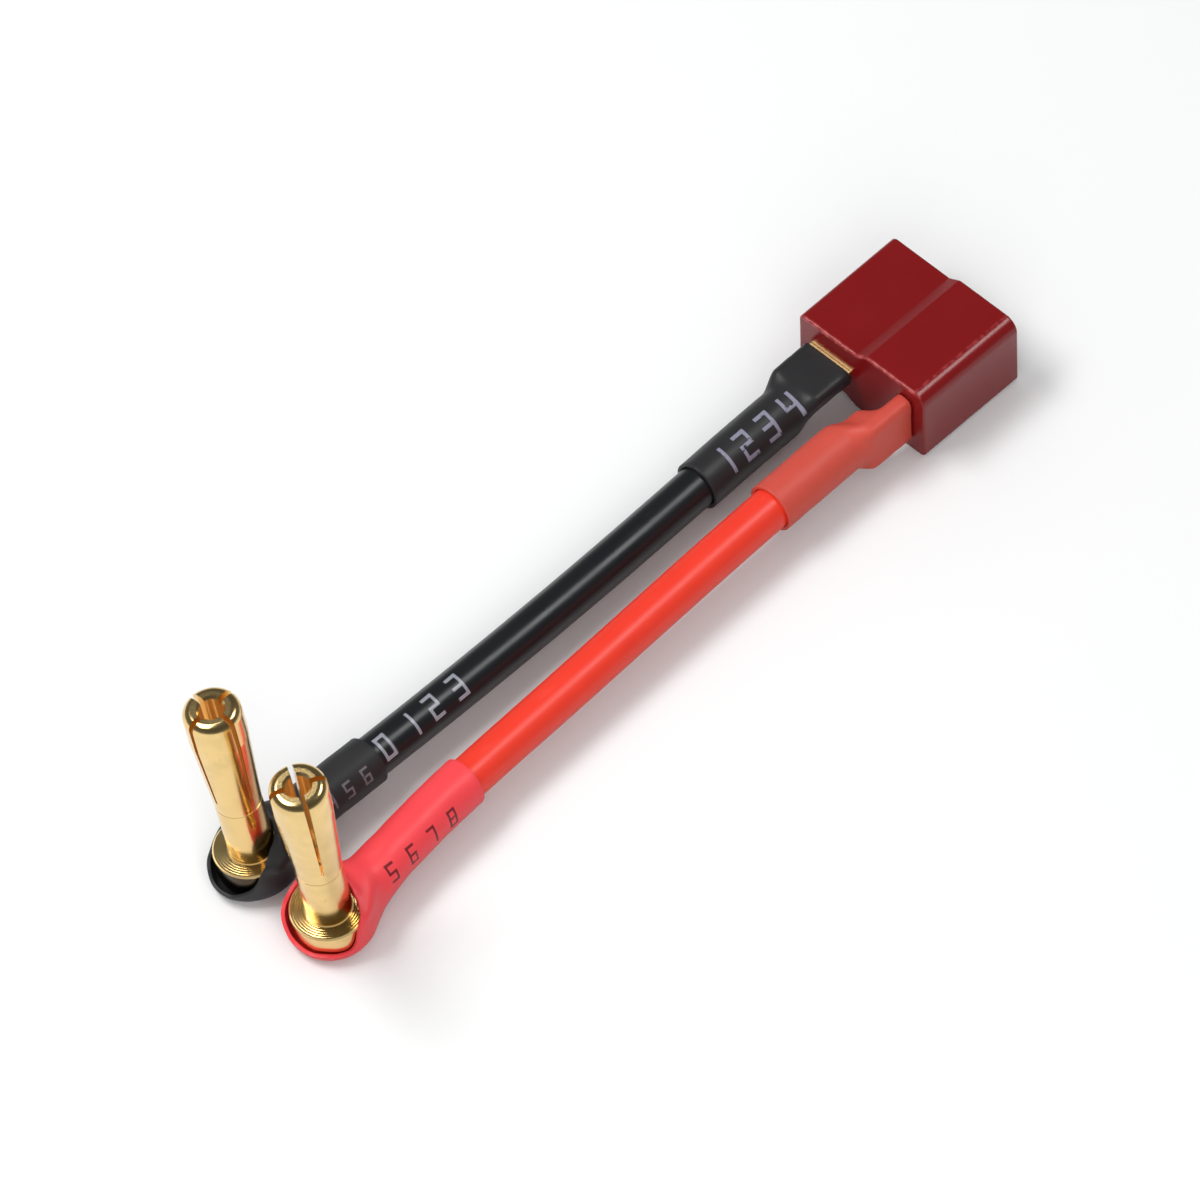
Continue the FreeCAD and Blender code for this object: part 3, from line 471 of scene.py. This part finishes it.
def housing_paint(tones):
    """Glossy red moulding, painted pale along its rear rim and its upper corner as highlights;
    the rim's flash line also stands in relief.
    """
    paint = Paint("Dark red moulding")
    cloud = paint.noise(260.0, 3.0)
    fine = paint.noise(5200.0)
    # Noise that breaks up the painted highlights below and the relief of the rim's flash line.
    patchiness = paint.ramp(paint.noise(1500.0, 3.0), 0.40, 0.62)
    body = paint.mix(cloud, tones.housing, [c * 1.12 for c in tones.housing])
    thick = paint.ramp(paint.y, PLUG_MIDDLE[0] + RAMP[0], PLUG_MIDDLE[0] + RAMP[1])
    top = thick * PLUG_STEP + (PLUG_HEIGHT - PLUG_STEP)
    # Painted highlight: the rear rim's flash line is painted pale where it catches the light; the
    # same mask raises the flash in relief.
    rim = paint.ramp(paint.x, PLUG_REAR + 0.42, PLUG_REAR + 0.12) * paint.ramp(
        paint.z - top, -0.45, -0.12)
    # Painted highlight: a pale line along the rounded upper corner, where the top lamp's highlight
    # runs.
    crown_y = PLUG_MIDDLE[0] - PLUG_HALF_WIDTH + 1.35
    crown = paint.ramp(abs(paint.y - crown_y), 0.24, 0.04) * paint.ramp(
        paint.z, PLUG_HEIGHT - 0.3, PLUG_HEIGHT - 0.1)
    # Painted highlights: the rim and the upper corner are mixed towards pale red.
    body = paint.mix(rim * (patchiness * 0.6 + 0.3), body, (0.50, 0.085, 0.085))
    body = paint.mix(crown * patchiness * 0.5, body, (0.42, 0.06, 0.06))
    return paint.finish(
        {"IOR": 1.5, "Specular IOR Level": 0.44},
        Base_Color=body,
        Roughness=0.19 + cloud * 0.09,
        Normal=paint.bump(fine * 0.3 + rim * patchiness * 2.0, 1.4e-5),
    )


def around_axis(paint, pole):
    """How far along a bullet's axis from its foot, and how far out from the axis."""
    place = bullet_frame(pole)
    foot = tuple(place.translation * MM)
    axis = tuple(place.col[2].to_3d())
    reach = paint.node("ShaderNodeVectorMath", {"operation": "SUBTRACT"}, paint.place, foot)
    along = paint.node("ShaderNodeVectorMath", {"operation": "DOT_PRODUCT"}, reach, axis,
                       out="Value")
    on_axis = paint.node("ShaderNodeVectorMath", {"operation": "SCALE"}, axis, Scale=along)
    beside = paint.node("ShaderNodeVectorMath", {"operation": "SUBTRACT"}, reach, on_axis)
    out = paint.node("ShaderNodeVectorMath", {"operation": "LENGTH"}, beside, out="Value")
    return along * (1 / MM), out * (1 / MM)


def turned_marks_and_painted_light(paint, pole, tint, height):
    """Adds a turned bullet's marks and its painted light: the rings on its base's face, a painted
    glow for the light that the faces in its slots and hole throw on each other, painted highlights
    on its edges and, in the black sleeve, a painted dark reflection of the film on its base's side."""
    along, out = around_axis(paint, pole)
    face = paint.ramp(abs(along - BASE_HEIGHT), 0.10, 0.04) * paint.ramp(
        out, NECK_RADIUS + 0.1, NECK_RADIUS + 0.2)
    rings = (out * (2 * math.pi / RING_PITCH)).math("SINE") * 0.5 + 0.5
    height = height + face * rings * 0.6
    widening = paint.ramp(along, BASE_HEIGHT + NECK_LENGTH, PIN_TOP - 4.1)
    skin = widening * (BAND_RADIUS - NECK_RADIUS) + NECK_RADIUS
    slots = paint.ramp(out - skin, -0.10, -0.28) * paint.ramp(
        along, PIN_TOP - 0.9, PIN_TOP - 1.1)
    bore = paint.ramp(out, BORE_RADIUS + 0.12, BORE_RADIUS - 0.02)
    slot_foot = PIN_TOP - SLOT_LENGTH
    inner = paint.ramp(along, slot_foot - 1.2, slot_foot - 0.2) * slots.math("MAXIMUM", bore)
    # Painted light: inside the slots and the hole the gold is tinted deeper and given a faint glow,
    # for the light its faces throw on each other.
    tint = paint.mix(inner, tint, (0.80, 0.52, 0.20))
    glow = paint.mix(inner, (0.0, 0.0, 0.0), (0.085, 0.045, 0.012))
    # Painted highlights: a glow along the base's outer edge, round the neck's root and at the neck's
    # end.
    rim = paint.ramp(abs(out - BASE_RADIUS + 0.07), 0.13, 0.07) * paint.ramp(
        abs(along - BASE_HEIGHT + 0.07), 0.13, 0.07)
    root = paint.ramp(abs(out - NECK_RADIUS - 0.04), 0.09, 0.04) * paint.ramp(
        abs(along - BASE_HEIGHT), 0.10, 0.05)
    line = paint.ramp(abs(along - BASE_HEIGHT - NECK_LENGTH - 0.08), 0.13, 0.09)
    glow = paint.mix(rim * 0.8 + root * 0.6 + line * 0.3, glow, (0.42, 0.30, 0.13))
    # Painted reflection: the base's side in the black sleeve is darkened, as if it mirrored the
    # black film.
    if pole == "negative":
        side = paint.ramp(along, BASE_HEIGHT - 0.16, BASE_HEIGHT - 0.24)
        tint = paint.mix(side, tint, (0.07, 0.05, 0.03))
    return tint, height, glow


def gold_paint(tones, name, pole=None):
    """Bright gold plate, with a turned bullet's marks and painted light where its pole is given."""
    paint = Paint(name)
    cloud = paint.noise(420.0, 3.0)
    grain = paint.noise(3000.0)
    tint = paint.mix(paint.ramp(cloud, 0.35, 0.7), tones.gold, [c * 0.9 for c in tones.gold])
    specks = paint.ramp(paint.noise(1900.0), 0.70, 0.76)
    tint = paint.mix(specks * 0.35, tint, (0.34, 0.20, 0.07))
    height = grain * 0.1
    glow = (0.0, 0.0, 0.0)
    if pole:
        tint, height, glow = turned_marks_and_painted_light(paint, pole, tint, height)
    return paint.finish(
        {"Metallic": 1.0, "Emission Strength": 1.0},
        Base_Color=tint,
        Emission_Color=glow,
        Roughness=0.13 + cloud * 0.12,
        Normal=paint.bump(height, 1.6e-5),
    )


def rubber_paint(name, tone, roughness, print_tone=None, printed=None):
    """Silicone, with figures printed on it where they are given."""
    paint = Paint(name)
    cloud = paint.noise(180.0, 3.0)
    fine = paint.noise(2600.0, stretch=(0.35, 1, 1))
    body = paint.mix(cloud, [c * 0.93 for c in tone], [min(c * 1.06, 1) for c in tone])
    scuffs = paint.ramp(paint.noise(520.0, 3.0, stretch=(0.25, 1, 1)), 0.60, 0.72)
    body = paint.mix(scuffs * 0.10, body, [min(c * 1.5 + 0.06, 1) for c in tone])
    if printed:
        body = paint.mix(paint.figures(**printed), body, print_tone)
    return paint.finish(
        {"IOR": 1.45, "Specular IOR Level": 0.5},
        Base_Color=body,
        Roughness=roughness + (cloud - 0.5) * 0.12 + scuffs * 0.08,
        Normal=paint.bump(fine, 5e-6),
    )


def sleeve_paint(name, tone, roughness, print_tone=None, printed=None):
    """Shrunk film, with figures printed on it where they are given."""
    paint = Paint(name)
    cloud = paint.noise(300.0, 3.0)
    fine = paint.noise(3400.0, 3.0, stretch=(0.5, 1, 1))
    body = paint.mix(cloud, [c * 0.94 for c in tone], [min(c * 1.05, 1) for c in tone])
    if printed:
        worn = paint.ramp(paint.noise(1700.0), 0.28, 0.42)
        body = paint.mix(paint.figures(**printed) * worn, body, print_tone)
    return paint.finish(
        {"IOR": 1.47, "Specular IOR Level": 0.4},
        Base_Color=body,
        Roughness=roughness + (cloud - 0.5) * 0.1,
        Normal=paint.bump(fine, 8e-6),
    )


def metal_paint(name, tone, roughness):
    """Plain metal for the pieces that the others hide."""
    paint = Paint(name)
    cloud = paint.noise(900.0, 3.0)
    body = paint.mix(cloud, [c * 0.85 for c in tone], tone)
    return paint.finish({"Metallic": 1.0}, Base_Color=body, Roughness=roughness + cloud * 0.1)


# Pieces.

class AddHousing(bpy.types.Operator):
    """Finish the moulded housing and the contacts in it"""

    bl_idname = "lead.add_housing"
    bl_label = "Housing and contacts"

    def execute(self, context):
        tones = context.scene.lead_colours
        nodes = frame["nodes"]
        dress(nodes["plug_housing"], housing_paint(tones))
        gold = gold_paint(tones, "Gold plated strip")
        spring = metal_paint("Leaf spring", (0.62, 0.60, 0.55), 0.3)
        solder = metal_paint("Solder", (0.62, 0.62, 0.62), 0.28)
        copper = metal_paint("Tinned strands", (0.6, 0.57, 0.52), 0.35)
        for pole in POLES:
            dress(nodes[pole + "_contact"], gold)
            dress(nodes[pole + "_contact_spring"], spring)
            dress(nodes[pole + "_tab_solder"], solder)
            dress(nodes[pole + "_cup_solder"], solder)
            dress(nodes[pole + "_conductor"], copper)
        return {"FINISHED"}


def lay_wire(scene, pole):
    """A wire's round insulation along its route."""
    name = pole + "_wire"
    data = bpy.data.curves.new(name, "CURVE")
    data.dimensions = "3D"
    data.resolution_u = 24
    spline = data.splines.new("NURBS")
    spline.points.add(len(ROUTES[pole]) - 1)
    for point, place in zip(spline.points, ROUTES[pole]):
        point.co = (*(c * MM for c in place), 1.0)
    spline.order_u = 3
    spline.use_endpoint_u = True
    data.bevel_depth = WIRE_RADIUS * MM
    data.bevel_resolution = 12
    data.use_fill_caps = True
    obj = bpy.data.objects.new(name, data)
    scene.collection.objects.link(obj)
    return obj


class AddWires(bpy.types.Operator):
    """Build both wires as cords along the part's routes"""

    bl_idname = "lead.add_wires"
    bl_label = "Wires"

    def execute(self, context):
        tones = context.scene.lead_colours
        paints = {
            "negative": rubber_paint("Black silicone", tones.black_wire, 0.30,
                                     (0.55, 0.57, 0.66), PRINTS["negative_wire"]),
            "positive": rubber_paint("Red silicone", tones.red_wire, 0.36),
        }
        for pole in POLES:
            obj = lay_wire(context.scene, pole)
            LINES[pole] = Line(obj)
            dress(obj, paints[pole])
            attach(obj, "root")
            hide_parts(pole + "_wire_insulation")
        return {"FINISHED"}


# The plug sleeves: rings over the tab stand close together, and those on the wire farther apart.
TAB_RINGS = 36
TAB_RING_PITCH = 0.22
TUBE_RINGS = 24
SLEEVE_SIDES = 72
FILM_CORNER = 0.3
# The film over the conductor, as a round: its radius at the conductor's end and beside the tab.
CORE_END = 0.5
FILM_CORE = {"negative": 1.15, "positive": 1.4}
# Distances behind the plug where the tab's film ends and the wire's begins. Both wires'
# insulation starts at the same X.
TAB_FILM_END = TAB_LENGTH + 0.05
WIRE_FILM_START = PLUG_REAR - ROUTES["negative"][0][0] + 0.1


def tab_sleeve_rounds(pole, behind):
    """The rounds (across, away from the tab, radius) that a plug sleeve is shrunk on at this
    distance behind the plug, and how far its hub is from the tab's middle."""
    if behind > WIRE_FILM_START:
        return [(0.0, CORE_OFFSET, WIRE_RADIUS)], CORE_OFFSET
    on_core = ease(behind, CORE_SETBACK - 1.0, CORE_SETBACK + 0.6)
    half, thick = TAB_HALF
    wide, flat = half - FILM_CORNER, thick - FILM_CORNER
    rounds = [(u, v, FILM_CORNER) for u in (-wide, wide) for v in (flat, -flat)]
    depth = thick - CORE_END + (CORE_OFFSET + CORE_END - thick) * on_core
    rounds.append((0.0, depth, CORE_END + (FILM_CORE[pole] - CORE_END) * on_core))
    return rounds, CORE_OFFSET * 0.45 * on_core


def tab_sleeve_ring(pole, behind, sizes):
    """One ring of a plug sleeve at this distance behind the plug."""
    rounds, hub = tab_sleeve_rounds(pole, behind)
    shifted = [(u, v - hub, r) for u, v, r in rounds]
    radii = taut_round(shifted, CLEARANCE + sizes.wall, SLEEVE_SIDES)
    x = PLUG_REAR - behind
    tab_y = PLUG_MIDDLE[0] + TAB_Y[pole]
    if pole == "negative":
        core = Vector((x, tab_y, PLUG_MIDDLE[1] - CORE_OFFSET))
    else:
        core = Vector((x, tab_y + CORE_OFFSET, PLUG_MIDDLE[1]))
    spot = LINES[pole].at(x)
    centre = core.lerp(Vector((x, spot.y, spot.z)), ease(behind, TAB_LENGTH + 1, TAB_LENGTH + 3))
    ring = []
    for j, r in enumerate(radii):
        angle = 2 * math.pi * j / SLEEVE_SIDES
        u, v = r * math.cos(angle), r * math.sin(angle)
        away = (0, u, CORE_OFFSET - hub - v) if pole == "negative" else (0, v + hub - CORE_OFFSET, u)
        ring.append(rippled(centre, Vector(away), 0.55, (7.0, 3.0, 1.0), sizes.ripple))
    return ring


def tab_sleeve_rings(pole, sizes):
    """Rings of the sleeve that is shrunk over a solder tab, its conductor and the wire."""
    distances = [SLEEVE_START[pole] + TAB_RING_PITCH * i for i in range(TAB_RINGS)]
    last = distances[-1]
    distances += [last + (SLEEVE_END[pole] - last) * (i + 1) / TUBE_RINGS
                  for i in range(TUBE_RINGS)]
    rings = [tab_sleeve_ring(pole, behind, sizes) for behind in distances]
    edge = [i for i, behind in enumerate(distances) if behind <= TAB_FILM_END][-1]
    wire = [i for i, behind in enumerate(distances) if behind > WIRE_FILM_START][0]
    for i in range(edge + 1, wire):
        share = (distances[i] - distances[edge]) / (distances[wire] - distances[edge])
        rings[i] = [a.lerp(b, share) for a, b in zip(rings[edge], rings[wire])]
    return smoothed(rings, 3)


class AddPlugSleeves(bpy.types.Operator):
    """Build the sleeves that are shrunk over the solder tabs"""

    bl_idname = "lead.add_plug_sleeves"
    bl_label = "Plug sleeves"

    def execute(self, context):
        sizes = context.scene.lead_sizes
        tones = context.scene.lead_colours
        looks = {
            "negative": ("black_sleeve", sleeve_paint("Black film", tones.black_sleeve, 0.42,
                                                      (0.27, 0.27, 0.36),
                                                      PRINTS["negative_plug_film"])),
            "positive": ("red_sleeve", sleeve_paint("Red film", tones.red_sleeve, 0.46)),
        }
        for pole in POLES:
            slot, paint = looks[pole]
            mesh = sleeve_mesh(tab_sleeve_rings(pole, sizes))
            obj = new_piece(pole + "_plug_film", mesh, pole + "_plug_sleeve")
            dress(obj, paint)
            give_wall(obj, sizes.wall)
        return {"FINISHED"}


# The bullet sleeves: a film that lies round the wire and round the base of the pin, with a cut
# mouth. The mouth's lip is listed: its turn about the pin in degrees from the wire's side, its
# distance from the pin's axis and its height above the base's upper face.
LIPS = {
    "negative": (
        (0, 2.5, 2.05), (25, 2.9, 1.7), (50, 3.7, 0.8), (70, 4.25, 0.0), (88, 4.33, -0.45),
        (104, 4.38, -1.0), (120, 4.42, -1.35), (138, 4.62, -1.6), (150, 4.76, -1.85),
        (158, 4.84, -2.3), (172, 4.86, -2.65), (190, 4.78, -2.75), (204, 4.58, -2.25),
        (216, 4.40, -2.0), (226, 4.33, -1.3), (234, 4.28, -0.3), (241, 4.1, 0.6),
        (250, 3.6, 1.5), (268, 3.05, 2.0), (300, 2.6, 2.3), (340, 2.5, 2.2),
    ),
    "positive": (
        (0, 2.5, 2.1), (25, 2.9, 1.8), (52, 3.75, 1.1), (80, 4.26, 0.45), (112, 4.32, 0.1),
        (130, 4.45, 0.1), (141, 4.66, 0.0), (149, 4.66, -1.0), (158, 4.58, -1.9),
        (172, 4.46, -2.2), (187, 4.40, -2.35), (203, 4.37, -2.4), (226, 4.34, -2.35),
        (245, 4.32, -2.4), (256, 4.32, -2.1), (262, 4.32, -1.2), (267, 4.28, 0.1),
        (276, 3.95, 0.7), (292, 3.3, 1.15), (318, 2.65, 1.6), (343, 2.5, 1.8),
    ),
}
POUCH_SIDES = 120
FULL_TURN = 360.0
# Rings on the wire and round the base, and where they part: this far from the pin's foot.
WIRE_RINGS = 30
MOUTH_RINGS = 26
NECK_RUN = 5.2
# The film round the wire and the base. The wire's middle rises to the cup's over one run, and the
# film keeps some room round it over another.
CUP_RISE = 0.15
MIDDLE_RUN = (3.0, 8.0)
ROOM_RUN = (3.0, 9.0)
FILM_ROOM = 0.30
TUBE_STOP = 1.0
SHOULDER_RISE = 0.75
UNDER_BEND = 1.5
SHOULDER_BEND = 0.6
FILM_BLEND = 1.8


def lip_at(pole, turn):
    """A lip's distance and height at a turn: straight stretches with their corners eased."""
    marks = LIPS[pole]

    def straight(angle):
        """The lip at an angle, straight between its two marks."""
        angle = angle % FULL_TURN
        for i, (start, out, up) in enumerate(marks):
            far, far_out, far_up = marks[(i + 1) % len(marks)]
            if i == len(marks) - 1:
                far += FULL_TURN
            if start <= angle <= far:
                share = (angle - start) / (far - start)
                return out + (far_out - out) * share, up + (far_up - up) * share

    near = [straight(turn + step) for step in (-4.5, -1.5, 1.5, 4.5)]
    return sum(n[0] for n in near) / len(near), sum(n[1] for n in near) / len(near)


def film_distance(point, pole, place, inverse, wall):
    """How far a point is outside the wire and the pin's base with a film round them."""
    foot_x = BULLET[pole]["foot"][0]
    cup = place @ Vector((0, 0, BASE_HEIGHT / 2 + CUP_RISE))
    on_line = LINES[pole].at(max(point.x, foot_x))
    share = ease(point.x, foot_x + MIDDLE_RUN[0], foot_x + MIDDLE_RUN[1])
    room = FILM_ROOM * (1 - ease(point.x, foot_x + ROOM_RUN[0], foot_x + ROOM_RUN[1]))
    middle = Vector((point.x, *(cup.yz.lerp(on_line.yz, share))))
    middle.z += room
    tube = (point - middle).length - (WIRE_RADIUS + CLEARANCE + wall + room)
    if point.x < foot_x + TUBE_STOP:
        tube = max(tube, foot_x + TUBE_STOP - point.x)
    local = inverse @ point
    radius = BASE_RADIUS + POUCH_GAP + wall
    low = -(POUCH_GAP + wall)
    high = BASE_HEIGHT + SHOULDER_RISE
    half = (high - low) / 2
    centre = (high + low) / 2
    bend = UNDER_BEND if local.z < centre else SHOULDER_BEND
    across = math.hypot(local.x, local.y) - radius + bend
    up = abs(local.z - centre) - half + bend
    pouch = math.hypot(max(across, 0), max(up, 0)) + min(max(across, up), 0) - bend
    gap = max(FILM_BLEND - abs(tube - pouch), 0.0) / FILM_BLEND
    return min(tube, pouch) - gap * gap * FILM_BLEND * 0.25


def march(start, direction, distance_to):
    """How far a ray from inside goes before it leaves the film."""
    reach = 14.0
    step = 0.5
    halvings = 14
    low, high = 0.0, reach
    travelled = 0.0
    while travelled < reach:
        if distance_to(start + direction * travelled) > 0:
            high = travelled
            low = travelled - step
            break
        travelled += step
    for _ in range(halvings):
        middle = (low + high) / 2
        if distance_to(start + direction * middle) > 0:
            high = middle
        else:
            low = middle
    return (low + high) / 2


def lip_points(pole, place, turns, sizes):
    """The points of a cut mouth's lip, with its unevenness."""
    shape = 5.0 if pole == "negative" else 2.0
    lip = []
    for turn in turns:
        out, height = lip_at(pole, turn)
        c, s = math.cos(math.radians(turn)), math.sin(math.radians(turn))
        height += noise.noise(Vector((c * 2.6, s * 2.6, shape))) * sizes.lip_wander
        lip.append(place @ Vector((out * c, out * s, BASE_HEIGHT + height)))
    return lip


def bullet_sleeve_rings(pole, sizes):
    """Rings from the sleeve's end on the wire to its cut mouth round the pin."""
    place = bullet_frame(pole)
    inverse = place.inverted()
    line = LINES[pole]
    turns = [FULL_TURN * j / POUCH_SIDES for j in range(POUCH_SIDES)]
    fan = [Vector((0, math.sin(math.radians(t)), math.cos(math.radians(t)))) for t in turns]

    def reach_in(centre, directions):
        """How far the film is from a centre in each direction."""
        return [march(centre, direction,
                      lambda point: film_distance(point, pole, place, inverse, sizes.wall))
                for direction in directions]

    neck_x = BULLET[pole]["foot"][0] + NECK_RUN
    end = BULLET[pole]["end"]
    rings = []
    for i in range(WIRE_RINGS):
        x = end + (neck_x - end) * i / WIRE_RINGS
        centre = Vector((x, *line.at(x).yz))
        radii = tautened(reach_in(centre, fan))
        rings.append([centre + d * r for d, r in zip(fan, radii)])

    lip = lip_points(pole, place, turns, sizes)
    neck = Vector((neck_x, *line.at(neck_x).yz))
    hub = place @ Vector((0.2, 0, BASE_HEIGHT * 0.55))
    aims = [(point - hub).normalized() for point in lip]
    # How far the film would have to be drawn in or out to end at its lip.
    draws = [(point - hub).length - r for point, r in zip(lip, reach_in(hub, aims))]
    for i in range(MOUTH_RINGS + 1):
        share = i / MOUTH_RINGS
        centre = neck.lerp(hub, share ** 0.8)
        directions = [d.slerp(a, share) for d, a in zip(fan, aims)]
        pull = ease(share, 0.45, 1.0) ** 1.5
        radii = reach_in(centre, directions)
        rings.append([centre + d * (r + draw * pull)
                      for d, r, draw in zip(directions, radii, draws)])
    film = []
    for ring in smoothed(rings, 2):
        middle = sum(ring, Vector()) / len(ring)
        uneven = [rippled(middle, point - middle, 0.5, (2.0, 9.0, 4.0), sizes.ripple)
                  for point in ring]
        film.append([Vector((p.x, p.y, max(p.z, 0.0))) for p in uneven])
    return film


class AddBulletSleeves(bpy.types.Operator):
    """Build the sleeves that wrap the bullets' bases, with their cut mouths"""

    bl_idname = "lead.add_bullet_sleeves"
    bl_label = "Bullet sleeves"

    def execute(self, context):
        sizes = context.scene.lead_sizes
        tones = context.scene.lead_colours
        looks = {
            "negative": ("black_sleeve", sleeve_paint("Black thick film", tones.black_sleeve, 0.5,
                                                      (0.16, 0.15, 0.17),
                                                      PRINTS["negative_bullet_film"])),
            "positive": ("pink_red_sleeve", sleeve_paint("Pink red film", tones.pink_sleeve, 0.4,
                                                         (0.20, 0.012, 0.02),
                                                         PRINTS["positive_bullet_film"])),
        }
        for pole in POLES:
            slot, paint = looks[pole]
            mesh = sleeve_mesh(bullet_sleeve_rings(pole, sizes))
            obj = new_piece(pole + "_bullet_film", mesh, pole + "_bullet_sleeve")
            dress(obj, paint)
            give_wall(obj, sizes.wall)
        return {"FINISHED"}


class AddBullets(bpy.types.Operator):
    """Finish the turned and slotted bullet pins"""

    bl_idname = "lead.add_bullets"
    bl_label = "Bullet pins"

    def execute(self, context):
        tones = context.scene.lead_colours
        for pole in POLES:
            node = frame["nodes"][pole + "_bullet_pin"]
            dress(node, gold_paint(tones, "Turned gold " + pole, pole))
        return {"FINISHED"}


def add_floor(scene):
    """A white floor that lights the pieces less than the camera and reflections see of it."""
    mesh = bmesh.new()
    bmesh.ops.create_grid(mesh, x_segments=1, y_segments=1, size=3.0)
    data = bpy.data.meshes.new("floor")
    mesh.to_mesh(data)
    mesh.free()
    floor = bpy.data.objects.new("floor", data)
    floor.location.z = -0.05 * MM
    scene.collection.objects.link(floor)
    paint = Paint("Pale floor")
    paint.tree.nodes.remove(paint.shader)
    camera, glossy = paint.outputs("ShaderNodeLightPath", ("Is Camera Ray", "Is Glossy Ray"))
    seen = paint.node("ShaderNodeBsdfDiffuse", {}, (0.958, 0.965, 0.965, 1.0))
    dim = paint.node("ShaderNodeBsdfDiffuse", {}, (0.36, 0.46, 0.46, 1.0))
    bright = paint.node("ShaderNodeBsdfDiffuse", {}, (0.92, 0.92, 0.92, 1.0))
    mixed = paint.node("ShaderNodeMixShader", {}, glossy, dim, bright)
    mixed = paint.node("ShaderNodeMixShader", {}, camera, mixed, seen)
    paint.join(mixed, paint.tree.nodes["Material Output"].inputs["Surface"])
    dress(floor, paint.material)


def add_sky(scene, level):
    """A white surround. It lights the pieces at this level, the camera sees it plain white, and
    reflections see it dim, and dimmer overhead."""
    world = bpy.data.worlds.new("Studio")
    world.use_nodes = True
    scene.world = world
    nodes = Nodes(world.node_tree)
    back = nodes.tree.nodes["Background"]
    nodes.join((1.0, 1.0, 1.0), back.inputs["Color"])
    camera, glossy = nodes.outputs("ShaderNodeLightPath", ("Is Camera Ray", "Is Glossy Ray"))
    place = nodes.node("ShaderNodeTexCoord", {}, out="Generated")
    height = nodes.node("ShaderNodeSeparateXYZ", {}, place, out="Z")
    reflected = 0.22 - nodes.ramp(height, 0.05, 0.5) * 0.14
    unseen = level + glossy * (reflected - level)
    nodes.join(unseen + camera * (1.0 - unseen), back.inputs["Strength"])


def add_softbox(scene, name, place, size, level, shines=True, shows=True):
    """A lamp that looks at the lead. One that doesn't shine is only reflected."""
    data = bpy.data.lights.new(name, "AREA")
    data.shape = "RECTANGLE"
    data.size, data.size_y = size
    place = Vector(place)
    data.energy = level * math.pi ** 2 * place.length_squared
    obj = bpy.data.objects.new(name, data)
    turn = place.to_track_quat("Z", "Y").to_matrix().to_4x4()
    obj.matrix_world = Matrix.Translation(place) @ turn
    obj.visible_diffuse = shines
    obj.visible_glossy = shows
    scene.collection.objects.link(obj)


# The camera's own right and up, what it looks at in millimetres, how far off it stands and how
# wide the picture is there, in metres.
CAMERA_RIGHT = (0.6900, -0.7236, -0.0126)
CAMERA_UP = (0.5772, 0.5396, 0.6131)
CAMERA_TARGET = (0.33, 0.65, 5.0)
CAMERA_DISTANCE = 5.0
PICTURE_WIDTH = 0.1139
FILM_WIDTH = 36.0


def add_camera(scene):
    """The camera that took the photograph's view."""
    right = Vector(CAMERA_RIGHT).normalized()
    back = right.cross(Vector(CAMERA_UP)).normalized()
    up = back.cross(right).normalized()
    camera = bpy.data.objects.new("camera", bpy.data.cameras.new("camera"))
    camera.data.lens = FILM_WIDTH * CAMERA_DISTANCE / PICTURE_WIDTH
    camera.data.clip_end = 10 * CAMERA_DISTANCE
    turn = Matrix((right, up, back)).transposed().to_4x4()
    place = Vector(CAMERA_TARGET) * MM + back * CAMERA_DISTANCE
    camera.matrix_world = Matrix.Translation(place) @ turn
    scene.collection.objects.link(camera)
    scene.camera = camera


class AddStage(bpy.types.Operator):
    """Add the floor, the studio light and the camera"""

    bl_idname = "lead.add_stage"
    bl_label = "Stage"

    def execute(self, context):
        scene = context.scene
        light = scene.lead_light
        scene.view_settings.view_transform = "Standard"
        add_floor(scene)
        add_sky(scene, light.sky)
        add_softbox(scene, "key", (-0.16, 0.22, 0.48), (0.34, 0.16), light.key)
        add_softbox(scene, "top", (0.26, -0.13, 0.50), (0.20, 0.14), light.top, shines=False)
        add_softbox(scene, "fill", (-0.32, -0.40, 0.35), (0.4, 0.4), light.fill, shows=False)
        add_camera(scene)
        return {"FINISHED"}


STEPS = (AddStage, AddWires, AddHousing, AddPlugSleeves, AddBulletSleeves, AddBullets)


class LeadPanel(bpy.types.Panel):
    """Steps that build the lead"""

    bl_idname = "VIEW3D_PT_lead"
    bl_label = "Adapter lead"
    bl_space_type = "VIEW_3D"
    bl_region_type = "UI"
    bl_category = "Adapter lead"

    def draw(self, context):
        for step in STEPS:
            self.layout.operator(step.bl_idname)
        for group in ("lead_sizes", "lead_colours", "lead_light"):
            box = self.layout.box()
            values = getattr(context.scene, group)
            for name in values.__annotations__:
                box.prop(values, name)


GROUPS = {"lead_sizes": LeadSizes, "lead_colours": LeadColours, "lead_light": LeadLight}
CLASSES = (*GROUPS.values(), *STEPS, LeadPanel)


def register():
    for item in CLASSES:
        bpy.utils.register_class(item)
    for name, group in GROUPS.items():
        setattr(bpy.types.Scene, name, bpy.props.PointerProperty(type=group))


def unregister():
    for name in GROUPS:
        delattr(bpy.types.Scene, name)
    for item in reversed(CLASSES):
        bpy.utils.unregister_class(item)


def main():
    register()
    bpy.ops.lead.add_stage()
    bpy.ops.lead.add_wires()
    bpy.ops.lead.add_housing()
    bpy.ops.lead.add_plug_sleeves()
    bpy.ops.lead.add_bullet_sleeves()
    bpy.ops.lead.add_bullets()


if __name__ == "__main__":
    main()
